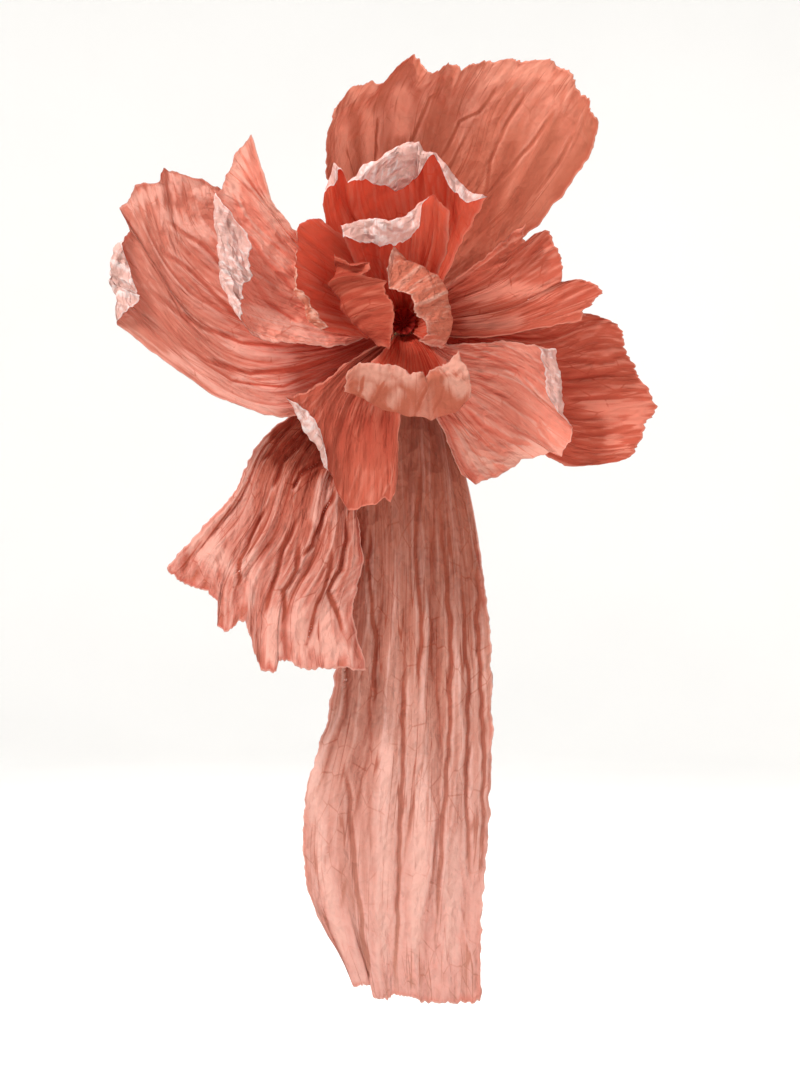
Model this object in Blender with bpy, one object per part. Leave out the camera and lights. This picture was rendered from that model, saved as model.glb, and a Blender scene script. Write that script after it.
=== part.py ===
"""A giant paper flower for a wall, built the way it is made by hand.

Paper petals are gathered into pleats at their necks and tied in four rings around a wooden core, each
ring over the one before. A pleated rosette closes the core's front end, and two screws hold the core
to a round plywood plate, whose back lies on the wall and whose keyhole hangs on a nail.
"""

import math
from typing import NamedTuple

import bpy
import numpy as np

# Sizes are in metres. Seen from the front, X is right and Z is up. The wall is the plane Y = 0, and
# "forward" is the distance in front of it, so Y is minus forward. Bearings are in degrees,
# counter-clockwise from the right as seen from the front.
PAPER = 0.0008
FIT = 0.0004

PLATE_RADIUS = 0.085
PLATE_THICKNESS = 0.012
PLATE_EDGE = 0.0015
CORE_RADIUS = 0.012
CORE_LENGTH = 0.175
CORE_EDGE = 0.001

KEYHOLE_HEIGHT = 0.052
KEYHOLE_DROP = 0.016
NAIL_HEAD_RADIUS = 0.0055
NAIL_SHANK_RADIUS = 0.0025
SLOT_SHARE = 0.96

SCREW_SPREAD = 0.0062
SCREW_SHANK_RADIUS = 0.0015
SCREW_HEAD_RADIUS = 0.0032
SCREW_HEAD_DEPTH = 0.0025
SCREW_LENGTH = 0.035
SCREW_SINK = 0.0006
SCREW_SLOT = 0.0008
SCREW_CLEARANCE = 0.0003
SIDES = ((-1, "left"), (1, "right"))

GATHER_DEPTH = 0.0025
NECK_TAIL = 0.028
TIE_FORWARD = 0.034
TIE_WIDTH = 0.009
WIRE = 0.002

ROSETTE_PLEATS = 8
ROSETTE_PLEAT_DEPTH = 0.0025
ROSETTE_PROFILE = ((0.006, 0.0), (0.012, 0.002), (0.0165, 0.011), (0.0225, 0.025))

ROUND_SIDES = 20
PLATE_SIDES = 36
SCREW_SIDES = 12
SEAT_ROWS = 2
FOLD_RADIUS = 0.011
SHORTEST_LIP = 0.005
CURL_STEPS = (0.36, 0.7, 1.0)

RIM_REACH = 0.45
COLUMN_DRIFT = 0.35
COLUMN_WAVES = 2.3
DEPTH_WAVES = 1.7
SHALLOWEST = 0.35

PAPER_CORAL = (0.84, 0.35, 0.26, 1.0)
PAPER_DEEP = (0.76, 0.22, 0.15, 1.0)
PAPER_PALE = (0.85, 0.50, 0.40, 1.0)
PLYWOOD = (0.66, 0.50, 0.33, 1.0)
BEECH = (0.72, 0.55, 0.38, 1.0)
IRON_WIRE = (0.33, 0.32, 0.31, 1.0)
ZINC = (0.62, 0.62, 0.63, 1.0)


class Petal(NamedTuple):
    """One sheet of paper, tied by its neck to a ring around the core.

    ring counts from the innermost, seat is the bearing of the neck and seat_arc how much of the ring
    it takes, and flare is how far forward the neck leaves the core. Each row runs clockwise across
    the sheet as points (x, z, forward), from nearest the neck outwards, and rim is its torn edge as
    points (x, z). lip is the paper beyond the rim, at even places across, and roll how far it is
    folded over forwards, in degrees.
    """

    name: str
    ring: int
    seat: float
    seat_arc: float
    flare: float
    pleats: int
    pleat_depth: float
    rim_depth: float
    steps: int
    rows: tuple
    rim: tuple
    lip: tuple = ()
    roll: tuple = (0.0,)
    paper: tuple = PAPER_CORAL


PETALS = (
    Petal(
        name="hanging_petal",
        ring=3,
        seat=-76,
        seat_arc=40,
        flare=0.05,
        pleats=8,
        pleat_depth=0.009,
        rim_depth=0.008,
        steps=11,
        rows=(
            (
                (0.115, -0.265, 0.09), (0.07, -0.225, 0.1), (0.01, -0.215, 0.105),
                (-0.05, -0.235, 0.1), (-0.105, -0.27, 0.09),
            ),
            (
                (0.155, -0.45, 0.065), (0.09, -0.455, 0.08), (0.02, -0.455, 0.09),
                (-0.05, -0.455, 0.085), (-0.11, -0.455, 0.07),
            ),
            (
                (0.175, -0.735, 0.05), (0.095, -0.76, 0.065), (0.015, -0.765, 0.07),
                (-0.07, -0.765, 0.065), (-0.15, -0.765, 0.05),
            ),
            (
                (0.175, -0.93, 0.04), (0.095, -0.93, 0.055), (0.005, -0.93, 0.06),
                (-0.095, -0.93, 0.055), (-0.195, -0.93, 0.045),
            ),
            (
                (0.16, -1.13, 0.04), (0.085, -1.14, 0.05), (-0.005, -1.15, 0.055),
                (-0.095, -1.14, 0.055), (-0.19, -1.115, 0.045),
            ),
            (
                (0.16, -1.31, 0.04), (0.085, -1.335, 0.05), (0.005, -1.32, 0.05),
                (-0.055, -1.315, 0.05), (-0.115, -1.27, 0.045),
            ),
        ),
        rim=(
            (0.155, -1.325), (0.135, -1.335), (0.095, -1.33), (0.05, -1.335), (0.01, -1.32),
            (-0.02, -1.315), (-0.03, -1.33), (-0.06, -1.32), (-0.065, -1.295), (-0.1, -1.3),
            (-0.11, -1.27),
        ),
        paper=PAPER_PALE,
    ),
    Petal(
        name="top_back_petal",
        ring=3,
        seat=74,
        seat_arc=46,
        flare=0.06,
        pleats=8,
        pleat_depth=0.006,
        rim_depth=0.007,
        steps=8,
        rows=(
            (
                (-0.055, 0.125, 0.1), (-0.025, 0.16, 0.09), (0.01, 0.17, 0.09),
                (0.055, 0.15, 0.09), (0.1, 0.09, 0.1),
            ),
            (
                (-0.145, 0.28, 0.16), (-0.06, 0.34, 0.125), (0.055, 0.35, 0.115),
                (0.165, 0.32, 0.13), (0.255, 0.19, 0.15),
            ),
            (
                (-0.145, 0.36, 0.195), (-0.06, 0.425, 0.165), (0.085, 0.43, 0.155),
                (0.215, 0.41, 0.17), (0.345, 0.3, 0.195),
            ),
            (
                (-0.13, 0.415, 0.225), (-0.015, 0.495, 0.22), (0.12, 0.49, 0.215),
                (0.29, 0.495, 0.225), (0.37, 0.37, 0.24),
            ),
        ),
        rim=(
            (-0.13, 0.405), (-0.115, 0.425), (-0.095, 0.445), (-0.07, 0.455), (-0.045, 0.455),
            (-0.025, 0.47), (-0.01, 0.485), (0.005, 0.495), (0.02, 0.505), (0.035, 0.495),
            (0.045, 0.48), (0.06, 0.475), (0.07, 0.48), (0.085, 0.49), (0.1, 0.485),
            (0.11, 0.475), (0.13, 0.49), (0.155, 0.495), (0.205, 0.495), (0.24, 0.495),
            (0.28, 0.495), (0.3, 0.485), (0.325, 0.47), (0.325, 0.44), (0.355, 0.42),
            (0.355, 0.395), (0.37, 0.37),
        ),
    ),
    Petal(
        name="right_back_petal",
        ring=3,
        seat=-12,
        seat_arc=40,
        flare=0.062,
        pleats=6,
        pleat_depth=0.006,
        rim_depth=0.006,
        steps=8,
        rows=(
            ((0.13, 0, 0.115), (0.15, -0.035, 0.11), (0.15, -0.075, 0.105), (0.13, -0.11, 0.11)),
            ((0.275, 0.005, 0.13), (0.305, -0.06, 0.12), (0.305, -0.155, 0.115), (0.255, -0.23, 0.125)),
            ((0.34, 0.015, 0.145), (0.39, -0.065, 0.13), (0.405, -0.165, 0.13), (0.35, -0.27, 0.14)),
            ((0.405, 0.01, 0.16), (0.46, -0.08, 0.145), (0.49, -0.165, 0.15), (0.445, -0.26, 0.165)),
        ),
        rim=(
            (0.335, 0.01), (0.36, 0.02), (0.39, 0.01), (0.42, 0), (0.43, -0.04),
            (0.45, -0.09), (0.475, -0.125), (0.49, -0.16), (0.485, -0.175), (0.47, -0.185),
            (0.455, -0.235), (0.435, -0.255), (0.41, -0.265),
        ),
    ),
    Petal(
        name="lower_left_long_petal",
        ring=3,
        seat=-125,
        seat_arc=40,
        flare=0.078,
        pleats=8,
        pleat_depth=0.009,
        rim_depth=0.012,
        steps=10,
        rows=(
            (
                (-0.045, -0.22, 0.115), (-0.07, -0.195, 0.12), (-0.1, -0.165, 0.12),
                (-0.125, -0.145, 0.115), (-0.16, -0.13, 0.105),
            ),
            (
                (-0.085, -0.325, 0.12), (-0.12, -0.3, 0.13), (-0.17, -0.275, 0.135),
                (-0.22, -0.25, 0.125), (-0.275, -0.22, 0.11),
            ),
            (
                (-0.08, -0.465, 0.13), (-0.14, -0.455, 0.145), (-0.21, -0.435, 0.15),
                (-0.275, -0.395, 0.13), (-0.34, -0.335, 0.105),
            ),
            (
                (-0.095, -0.555, 0.13), (-0.17, -0.555, 0.15), (-0.255, -0.545, 0.15),
                (-0.335, -0.495, 0.13), (-0.415, -0.425, 0.105),
            ),
            (
                (-0.07, -0.665, 0.125), (-0.16, -0.665, 0.15), (-0.265, -0.67, 0.15),
                (-0.35, -0.575, 0.13), (-0.46, -0.48, 0.11),
            ),
        ),
        rim=(
            (-0.07, -0.67), (-0.115, -0.665), (-0.16, -0.665), (-0.18, -0.67), (-0.2, -0.665),
            (-0.22, -0.65), (-0.24, -0.65), (-0.245, -0.67), (-0.275, -0.67), (-0.29, -0.63),
            (-0.305, -0.575), (-0.315, -0.575), (-0.34, -0.595), (-0.36, -0.585), (-0.36, -0.535),
            (-0.385, -0.515), (-0.44, -0.495), (-0.46, -0.47),
        ),
    ),
    Petal(
        name="left_petal",
        ring=2,
        seat=190,
        seat_arc=44,
        flare=0.085,
        pleats=8,
        pleat_depth=0.006,
        rim_depth=0.007,
        steps=8,
        rows=(
            (
                (-0.11, -0.12, 0.155), (-0.13, -0.07, 0.145), (-0.135, -0.03, 0.14),
                (-0.13, 0.005, 0.145), (-0.12, 0.04, 0.15),
            ),
            (
                (-0.205, -0.18, 0.19), (-0.26, -0.11, 0.16), (-0.29, -0.02, 0.15),
                (-0.28, 0.055, 0.15), (-0.235, 0.12, 0.165),
            ),
            (
                (-0.36, -0.14, 0.21), (-0.415, -0.05, 0.17), (-0.44, 0.055, 0.16),
                (-0.42, 0.16, 0.16), (-0.33, 0.215, 0.18),
            ),
            (
                (-0.535, -0.015, 0.225), (-0.56, 0.07, 0.2), (-0.535, 0.2, 0.19),
                (-0.455, 0.28, 0.19), (-0.355, 0.255, 0.195),
            ),
        ),
        rim=(
            (-0.54, -0.01), (-0.545, 0.005), (-0.545, 0.045), (-0.56, 0.07), (-0.555, 0.095),
            (-0.54, 0.135), (-0.515, 0.165), (-0.54, 0.215), (-0.525, 0.23), (-0.51, 0.255),
            (-0.465, 0.265), (-0.455, 0.29), (-0.425, 0.28), (-0.39, 0.27), (-0.35, 0.255),
        ),
    ),
    Petal(
        name="upper_left_petal",
        ring=2,
        seat=143,
        seat_arc=34,
        flare=0.1,
        pleats=6,
        pleat_depth=0.005,
        rim_depth=0.002,
        steps=7,
        rows=(
            (
                (-0.1, -0.04, 0.18), (-0.1, -0.005, 0.17), (-0.1, 0.03, 0.17),
                (-0.09, 0.06, 0.17), (-0.075, 0.085, 0.175),
            ),
            (
                (-0.21, -0.04, 0.225), (-0.22, 0.025, 0.2), (-0.215, 0.075, 0.195),
                (-0.205, 0.125, 0.195), (-0.185, 0.155, 0.205),
            ),
            (
                (-0.295, -0.01, 0.26), (-0.305, 0.06, 0.235), (-0.305, 0.13, 0.23),
                (-0.285, 0.185, 0.23), (-0.25, 0.23, 0.23),
            ),
            (
                (-0.33, 0.03, 0.28), (-0.35, 0.09, 0.26), (-0.355, 0.155, 0.26),
                (-0.355, 0.225, 0.255), (-0.285, 0.34, 0.26),
            ),
        ),
        rim=(
            (-0.305, -0.005), (-0.33, 0.035), (-0.34, 0.075), (-0.345, 0.11), (-0.345, 0.14),
            (-0.35, 0.17), (-0.35, 0.205), (-0.35, 0.23), (-0.335, 0.25), (-0.32, 0.29),
            (-0.305, 0.32), (-0.285, 0.345),
        ),
        lip=(0.02, 0.04, 0.062, 0.085, 0.088, 0.08, 0.04, 0.006, 0.006, 0.006, 0.006),
        roll=(150, 165, 165, 165, 165, 165, 160, 40, 20, 20, 20),
    ),
    Petal(
        name="right_upper_petal",
        ring=2,
        seat=18,
        seat_arc=36,
        flare=0.112,
        pleats=7,
        pleat_depth=0.006,
        rim_depth=0.005,
        steps=7,
        rows=(
            (
                (0.07, 0.06, 0.18), (0.085, 0.04, 0.17), (0.09, 0.015, 0.17),
                (0.09, -0.005, 0.17), (0.08, -0.025, 0.175),
            ),
            (
                (0.16, 0.125, 0.215), (0.185, 0.08, 0.195), (0.205, 0.04, 0.19),
                (0.22, 0.005, 0.19), (0.195, -0.025, 0.205),
            ),
            (
                (0.235, 0.18, 0.245), (0.29, 0.15, 0.22), (0.31, 0.085, 0.215),
                (0.375, 0.06, 0.23), (0.33, 0, 0.24),
            ),
        ),
        rim=(
            (0.23, 0.185), (0.23, 0.15), (0.25, 0.165), (0.275, 0.175), (0.295, 0.14),
            (0.305, 0.105), (0.3, 0.075), (0.33, 0.08), (0.355, 0.075), (0.38, 0.055),
            (0.36, 0.035), (0.345, 0.02), (0.335, 0),
        ),
    ),
    Petal(
        name="right_lower_petal",
        ring=2,
        seat=-36,
        seat_arc=40,
        flare=0.102,
        pleats=6,
        pleat_depth=0.005,
        rim_depth=0.004,
        steps=7,
        rows=(
            (
                (0.09, -0.04, 0.16), (0.1, -0.07, 0.15), (0.09, -0.105, 0.15),
                (0.07, -0.13, 0.15), (0.045, -0.145, 0.16),
            ),
            (
                (0.195, -0.035, 0.19), (0.225, -0.095, 0.17), (0.2, -0.165, 0.165),
                (0.15, -0.215, 0.17), (0.09, -0.225, 0.18),
            ),
            (
                (0.29, -0.05, 0.21), (0.315, -0.15, 0.2), (0.315, -0.24, 0.2),
                (0.225, -0.265, 0.19), (0.13, -0.305, 0.2),
            ),
        ),
        rim=(
            (0.275, -0.05), (0.29, -0.09), (0.295, -0.13), (0.3, -0.17), (0.315, -0.195),
            (0.315, -0.225), (0.3, -0.255), (0.275, -0.245), (0.245, -0.26), (0.22, -0.26),
            (0.21, -0.275), (0.18, -0.29), (0.135, -0.305), (0.11, -0.29),
        ),
        lip=(0.045, 0.05, 0.042, 0.008, 0.006, 0.006, 0.006, 0.006, 0.006),
        roll=(160, 160, 150, 40, 20, 20, 20, 20, 20),
    ),
    Petal(
        name="lower_left_petal",
        ring=2,
        seat=-112,
        seat_arc=40,
        flare=0.112,
        pleats=6,
        pleat_depth=0.004,
        rim_depth=0.004,
        steps=7,
        rows=(
            (
                (0, -0.105, 0.185), (-0.03, -0.115, 0.18), (-0.06, -0.105, 0.18),
                (-0.085, -0.09, 0.18), (-0.1, -0.07, 0.185),
            ),
            (
                (-0.01, -0.225, 0.205), (-0.05, -0.23, 0.195), (-0.095, -0.215, 0.195),
                (-0.135, -0.17, 0.2), (-0.16, -0.12, 0.21),
            ),
            (
                (-0.015, -0.335, 0.205), (-0.06, -0.345, 0.205), (-0.105, -0.355, 0.21),
                (-0.155, -0.255, 0.22), (-0.215, -0.145, 0.23),
            ),
        ),
        rim=(
            (-0.01, -0.295), (-0.015, -0.32), (-0.025, -0.34), (-0.035, -0.33), (-0.05, -0.345),
            (-0.075, -0.345), (-0.105, -0.355), (-0.125, -0.32), (-0.145, -0.27), (-0.165, -0.225),
            (-0.19, -0.185), (-0.215, -0.145),
        ),
        lip=(0.006, 0.006, 0.006, 0.006, 0.006, 0.008, 0.028, 0.044, 0.038, 0.02),
        roll=(20, 20, 20, 20, 20, 60, 150, 160, 160, 120),
    ),
    Petal(
        name="upper_cup_petal",
        ring=1,
        seat=95,
        seat_arc=84,
        flare=0.125,
        pleats=8,
        pleat_depth=0.004,
        rim_depth=0.002,
        steps=7,
        rows=(
            (
                (-0.055, 0.06, 0.195), (-0.035, 0.085, 0.19), (-0.015, 0.1, 0.185),
                (0.015, 0.105, 0.185), (0.045, 0.09, 0.19), (0.065, 0.06, 0.195),
            ),
            (
                (-0.135, 0.155, 0.22), (-0.1, 0.195, 0.21), (-0.045, 0.225, 0.205),
                (0.025, 0.24, 0.205), (0.08, 0.215, 0.21), (0.12, 0.16, 0.22),
            ),
            (
                (-0.155, 0.23, 0.27), (-0.115, 0.28, 0.285), (-0.035, 0.32, 0.295),
                (0.035, 0.325, 0.295), (0.09, 0.29, 0.285), (0.16, 0.22, 0.265),
            ),
        ),
        rim=(
            (-0.15, 0.21), (-0.145, 0.24), (-0.135, 0.265), (-0.13, 0.285), (-0.115, 0.27),
            (-0.105, 0.25), (-0.09, 0.26), (-0.075, 0.28), (-0.05, 0.29), (-0.03, 0.305),
            (0, 0.32), (0.03, 0.325), (0.04, 0.305), (0.06, 0.305), (0.075, 0.29),
            (0.09, 0.27), (0.105, 0.25), (0.125, 0.23), (0.155, 0.225),
        ),
        lip=(0.02, 0.026, 0.036, 0.045, 0.072, 0.1, 0.118, 0.05, 0.048, 0.056, 0.066, 0.05),
        roll=(110, 140, 150, 165, 170, 170, 170, 150, 150, 155, 155, 140),
        paper=PAPER_DEEP,
    ),
    Petal(
        name="left_cup_petal",
        ring=1,
        seat=180,
        seat_arc=64,
        flare=0.14,
        pleats=6,
        pleat_depth=0.004,
        rim_depth=0.002,
        steps=7,
        rows=(
            (
                (-0.055, -0.03, 0.205), (-0.065, 0, 0.2), (-0.07, 0.03, 0.2),
                (-0.065, 0.055, 0.205), (-0.05, 0.075, 0.21),
            ),
            (
                (-0.105, -0.035, 0.255), (-0.135, 0.02, 0.245), (-0.15, 0.075, 0.245),
                (-0.135, 0.13, 0.245), (-0.105, 0.16, 0.25),
            ),
            (
                (-0.155, -0.035, 0.3), (-0.185, 0.03, 0.31), (-0.205, 0.1, 0.32),
                (-0.19, 0.17, 0.31), (-0.145, 0.195, 0.295),
            ),
        ),
        rim=(
            (-0.15, -0.025), (-0.175, -0.01), (-0.185, 0.02), (-0.2, 0.045), (-0.2, 0.085),
            (-0.195, 0.125), (-0.195, 0.155), (-0.19, 0.17), (-0.17, 0.18), (-0.15, 0.18),
        ),
        lip=(0.044, 0.06, 0.052, 0.036, 0.03, 0.024),
        roll=(150, 165, 160, 150, 150, 130),
        paper=PAPER_DEEP,
    ),
    Petal(
        name="upper_inner_petal",
        ring=0,
        seat=95,
        seat_arc=70,
        flare=0.158,
        pleats=4,
        pleat_depth=0.003,
        rim_depth=0.002,
        steps=7,
        rows=(
            (
                (-0.04, 0.04, 0.225), (-0.025, 0.055, 0.22), (-0.005, 0.06, 0.22),
                (0.015, 0.055, 0.22), (0.035, 0.04, 0.225),
            ),
            (
                (-0.095, 0.105, 0.27), (-0.065, 0.13, 0.26), (-0.015, 0.14, 0.255),
                (0.04, 0.14, 0.26), (0.08, 0.12, 0.27),
            ),
            (
                (-0.12, 0.155, 0.31), (-0.075, 0.18, 0.32), (-0.02, 0.18, 0.32),
                (0.045, 0.21, 0.32), (0.085, 0.195, 0.3),
            ),
        ),
        rim=(
            (-0.115, 0.16), (-0.095, 0.17), (-0.075, 0.175), (-0.045, 0.175), (-0.02, 0.175),
            (0.005, 0.185), (0.025, 0.205), (0.045, 0.215), (0.055, 0.22), (0.07, 0.205),
            (0.085, 0.19),
        ),
        lip=(0.036, 0.058, 0.062, 0.064, 0.056, 0.02, 0.01, 0.01),
        roll=(150, 160, 160, 160, 150, 90, 40, 30),
        paper=PAPER_DEEP,
    ),
    Petal(
        name="left_inner_petal",
        ring=0,
        seat=180,
        seat_arc=66,
        flare=0.16,
        pleats=4,
        pleat_depth=0.003,
        rim_depth=0.003,
        steps=9,
        rows=(
            ((-0.02, -0.03, 0.235), (-0.035, -0.01, 0.23), (-0.04, 0.015, 0.23), (-0.035, 0.04, 0.235)),
            ((-0.05, -0.055, 0.305), (-0.1, -0.015, 0.3), (-0.12, 0.05, 0.3), (-0.105, 0.11, 0.305)),
            ((-0.025, -0.07, 0.365), (-0.015, -0.01, 0.375), (-0.035, 0.05, 0.37), (-0.07, 0.095, 0.355)),
        ),
        rim=(
            (-0.025, -0.065), (-0.02, -0.04), (-0.015, -0.01), (-0.02, 0.015), (-0.035, 0.04),
            (-0.03, 0.06), (-0.06, 0.065), (-0.075, 0.07), (-0.06, 0.08), (-0.06, 0.095),
            (-0.085, 0.09), (-0.1, 0.09), (-0.11, 0.1),
        ),
    ),
    Petal(
        name="right_inner_petal",
        ring=0,
        seat=8,
        seat_arc=66,
        flare=0.16,
        pleats=4,
        pleat_depth=0.003,
        rim_depth=0.003,
        steps=9,
        rows=(
            ((0.02, 0.04, 0.235), (0.03, 0.02, 0.23), (0.035, -0.005, 0.23), (0.025, -0.03, 0.235)),
            ((-0.01, 0.115, 0.3), (0.06, 0.085, 0.305), (0.085, 0.015, 0.305), (0.08, -0.055, 0.3)),
            ((-0.025, 0.06, 0.35), (0.01, 0.04, 0.365), (0.025, -0.005, 0.37), (0.04, -0.045, 0.35)),
        ),
        rim=(
            (-0.03, 0.085), (-0.025, 0.05), (-0.01, 0.04), (0.01, 0.035), (0.02, 0.02),
            (0.025, -0.005), (0.04, -0.015), (0.045, -0.035), (0.03, -0.05),
        ),
    ),
    Petal(
        name="lower_inner_petal",
        ring=0,
        seat=-84,
        seat_arc=76,
        flare=0.162,
        pleats=5,
        pleat_depth=0.003,
        rim_depth=0.002,
        steps=8,
        rows=(
            (
                (0.05, -0.045, 0.24), (0.035, -0.055, 0.235), (0.015, -0.06, 0.235),
                (-0.01, -0.06, 0.235), (-0.03, -0.045, 0.24),
            ),
            (
                (0.13, -0.13, 0.31), (0.085, -0.175, 0.32), (0.02, -0.185, 0.32),
                (-0.045, -0.17, 0.32), (-0.1, -0.13, 0.31),
            ),
            (
                (0.135, -0.085, 0.365), (0.08, -0.11, 0.38), (0.025, -0.125, 0.385),
                (-0.04, -0.11, 0.38), (-0.095, -0.105, 0.36),
            ),
        ),
        rim=(
            (0.125, -0.12), (0.1, -0.13), (0.075, -0.125), (0.055, -0.125), (0.045, -0.135),
            (0.04, -0.125), (0.01, -0.125), (-0.005, -0.115), (-0.03, -0.11), (-0.055, -0.105),
            (-0.085, -0.105), (-0.105, -0.12),
        ),
        lip=(0.064, 0.044, 0.02, 0.014, 0.014, 0.018, 0.02),
        roll=(80, 90, 120, 120, 120, 120, 110),
    ),
)


def smooth_through(knots, values, at):
    """A smooth curve through every value, read at the places in at."""
    gaps = np.diff(knots)
    slopes = np.diff(values, axis=0) / gaps.reshape(-1, *[1] * (values.ndim - 1))
    weight = (gaps[:-1] / (gaps[:-1] + gaps[1:])).reshape(-1, *[1] * (values.ndim - 1))
    inner = slopes[:-1] * (1 - weight) + slopes[1:] * weight
    tangents = np.concatenate([slopes[:1], inner, slopes[-1:]])
    cell = np.clip(np.searchsorted(knots, at, side="right") - 1, 0, len(gaps) - 1)
    gap = gaps[cell].reshape(-1, *[1] * (values.ndim - 1))
    t = ((at - knots[cell]) / gaps[cell]).reshape(gap.shape)
    return (
        values[cell] * (2 * t**3 - 3 * t**2 + 1)
        + tangents[cell] * gap * (t**3 - 2 * t**2 + t)
        + values[cell + 1] * (3 * t**2 - 2 * t**3)
        + tangents[cell + 1] * gap * (t**3 - t**2)
    )


def shares_of(lengths):
    """Running shares, from 0 to 1, of a row of lengths."""
    return np.concatenate([[0.0], np.cumsum(lengths)]) / np.sum(lengths)


def unit(vectors):
    """The vectors at length 1."""
    return vectors / np.linalg.norm(vectors, axis=-1, keepdims=True)


def on_core(radius, bearing, forward):
    """The point at a radius and bearing around the core, as (x, z, forward)."""
    angle = np.radians(bearing)
    return np.stack([radius * np.cos(angle), radius * np.sin(angle), np.full_like(angle, forward)], -1)


def neck_radius(ring):
    """Middle radius of a ring's gathered necks, outside the core and the ties of the rings under it."""
    layer = 2 * (FIT + GATHER_DEPTH) + PAPER + WIRE
    return CORE_RADIUS + ring * layer + FIT + GATHER_DEPTH + PAPER / 2


def petal_net(petal):
    """The sheet's guiding points, rows by columns: two rows on the core, then the petal's own rows."""
    own = np.array(petal.rows, float)
    half = petal.seat_arc / 2
    bearings = np.linspace(petal.seat + half, petal.seat - half, own.shape[1])
    radius = neck_radius(petal.ring)
    tail = on_core(radius, bearings, NECK_TAIL)
    neck = on_core(radius, bearings, petal.flare)
    return np.concatenate([[tail, neck], own])


def smooth_sheet(petal, across, along):
    """Points of the unpleated sheet and its forward-facing normals, at shares across and along it."""
    net = petal_net(petal)
    rows = shares_of(np.linalg.norm(np.diff(net, axis=0), axis=2).mean(axis=1))
    columns = shares_of(np.linalg.norm(np.diff(net[2:], axis=1), axis=2).mean(axis=0))
    ribs = smooth_through(rows, net, along(rows))
    points = smooth_through(columns, ribs.swapaxes(0, 1), across).swapaxes(0, 1)
    points = points + rim_shift(petal, across, along(rows), points[-1])
    to_rim = unit(np.gradient(points, axis=0))
    normals = unit(np.cross(np.gradient(points, axis=1), to_rim))
    return points, normals, to_rim


def rim_shift(petal, across, along, plain_rim):
    """How far each point moves so that the sheet ends on its torn edge, easing in over the outer part."""
    edge = np.array(petal.rim, float)
    places = shares_of(np.linalg.norm(np.diff(edge, axis=0), axis=1))
    shift = np.zeros_like(plain_rim)
    for axis in range(2):
        shift[:, axis] = np.interp(across, places, edge[:, axis]) - plain_rim[:, axis]
    reach = np.clip((along - (1 - RIM_REACH)) / RIM_REACH, 0, 1)
    ease = reach * reach * (3 - 2 * reach)
    return ease[:, None, None] * shift


def rows_along(petal):
    """Where the sheet's cross rows lie: close together on the core, and evenly from there to the rim."""

    def places(rows):
        on_seat = np.linspace(0, rows[1], SEAT_ROWS)
        bend = rows[1] + (rows[2] - rows[1]) * np.array([0.25])
        fan = np.linspace(rows[2], 1, petal.steps)
        return np.concatenate([on_seat, bend, fan])

    return places


def lip_rows(petal, points, normals, to_rim, across):
    """The rows of paper beyond the rim, folded over forwards about the rim line."""
    places = np.linspace(0, 1, len(petal.lip))
    length = np.maximum(smooth_through(places, np.array(petal.lip, float), across), SHORTEST_LIP)
    roll = np.radians(smooth_through(places, np.array(petal.roll, float), across))
    rim, front, ahead = points[-1], normals[-1], to_rim[-1]
    found_points, found_normals = [], []
    for share in CURL_STEPS:
        run = length * share
        turn = np.minimum(run / FOLD_RADIUS, roll)[:, None]
        beyond = run[:, None] - turn * FOLD_RADIUS
        curl = FOLD_RADIUS * (np.sin(turn) * ahead + (1 - np.cos(turn)) * front)
        found_points.append(rim + curl + beyond * (np.cos(turn) * ahead + np.sin(turn) * front))
        found_normals.append(np.cos(turn) * front - np.sin(turn) * ahead)
    return np.array(found_points), np.array(found_normals)


def pleated_sheet(petal):
    """Middle points and normals of the finished sheet, with its gathers and pleats."""
    even = np.linspace(0, 1, 2 * petal.pleats + 1)
    drift = COLUMN_DRIFT / (2 * petal.pleats)
    across = even + drift * np.sin(math.pi * even) * np.sin(2 * math.pi * COLUMN_WAVES * even + petal.seat)
    points, normals, to_rim = smooth_sheet(petal, across, rows_along(petal))
    depth = np.full(len(points), petal.pleat_depth)
    depth[:SEAT_ROWS] = GATHER_DEPTH
    depth[SEAT_ROWS] = (GATHER_DEPTH + petal.pleat_depth) / 2
    depth[-petal.steps :] = np.linspace(petal.pleat_depth, petal.rim_depth, petal.steps)
    swell = 0.5 + 0.5 * np.cos(2 * math.pi * DEPTH_WAVES * even + petal.seat)
    fold = np.where(np.arange(len(across)) % 2, 1.0, -1.0) * (SHALLOWEST + (1 - SHALLOWEST) * swell)
    if petal.lip:
        more_points, more_normals = lip_rows(petal, points, normals, to_rim, across)
        points, normals = np.concatenate([points, more_points]), np.concatenate([normals, more_normals])
        depth = np.concatenate([depth, np.full(len(more_points), petal.rim_depth)])
    return points + normals * (depth[:, None] * fold)[:, :, None], normals


def world(points):
    """Points (x, z, forward) as (X, Y, Z)."""
    return np.stack([points[..., 0], -points[..., 2], points[..., 1]], -1)


def material(name, colour, roughness, metallic=0.0):
    """A plain material, made once for each name."""
    found = bpy.data.materials.get(name)
    if found:
        return found
    made = bpy.data.materials.new(name)
    made.use_nodes = True
    shader = made.node_tree.nodes["Principled BSDF"]
    shader.inputs["Base Color"].default_value = colour
    shader.inputs["Roughness"].default_value = roughness
    shader.inputs["Metallic"].default_value = metallic
    return made


def add_mesh(name, vertices, faces, surface):
    """A new object from vertices and faces."""
    mesh = bpy.data.meshes.new(name)
    mesh.from_pydata([tuple(v) for v in vertices], [], faces)
    mesh.materials.append(surface)
    mesh.shade_smooth()
    mesh.set_sharp_from_angle(angle=math.radians(30))
    made = bpy.data.objects.new(name, mesh)
    bpy.context.scene.collection.objects.link(made)
    return made


def halves(corners, turned_diagonal):
    """The two triangles of a face with four corners, cut along one diagonal or the other."""
    a, b, c, d = corners
    return ((a, b, d), (b, c, d)) if turned_diagonal else ((a, b, c), (a, c, d))


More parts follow.
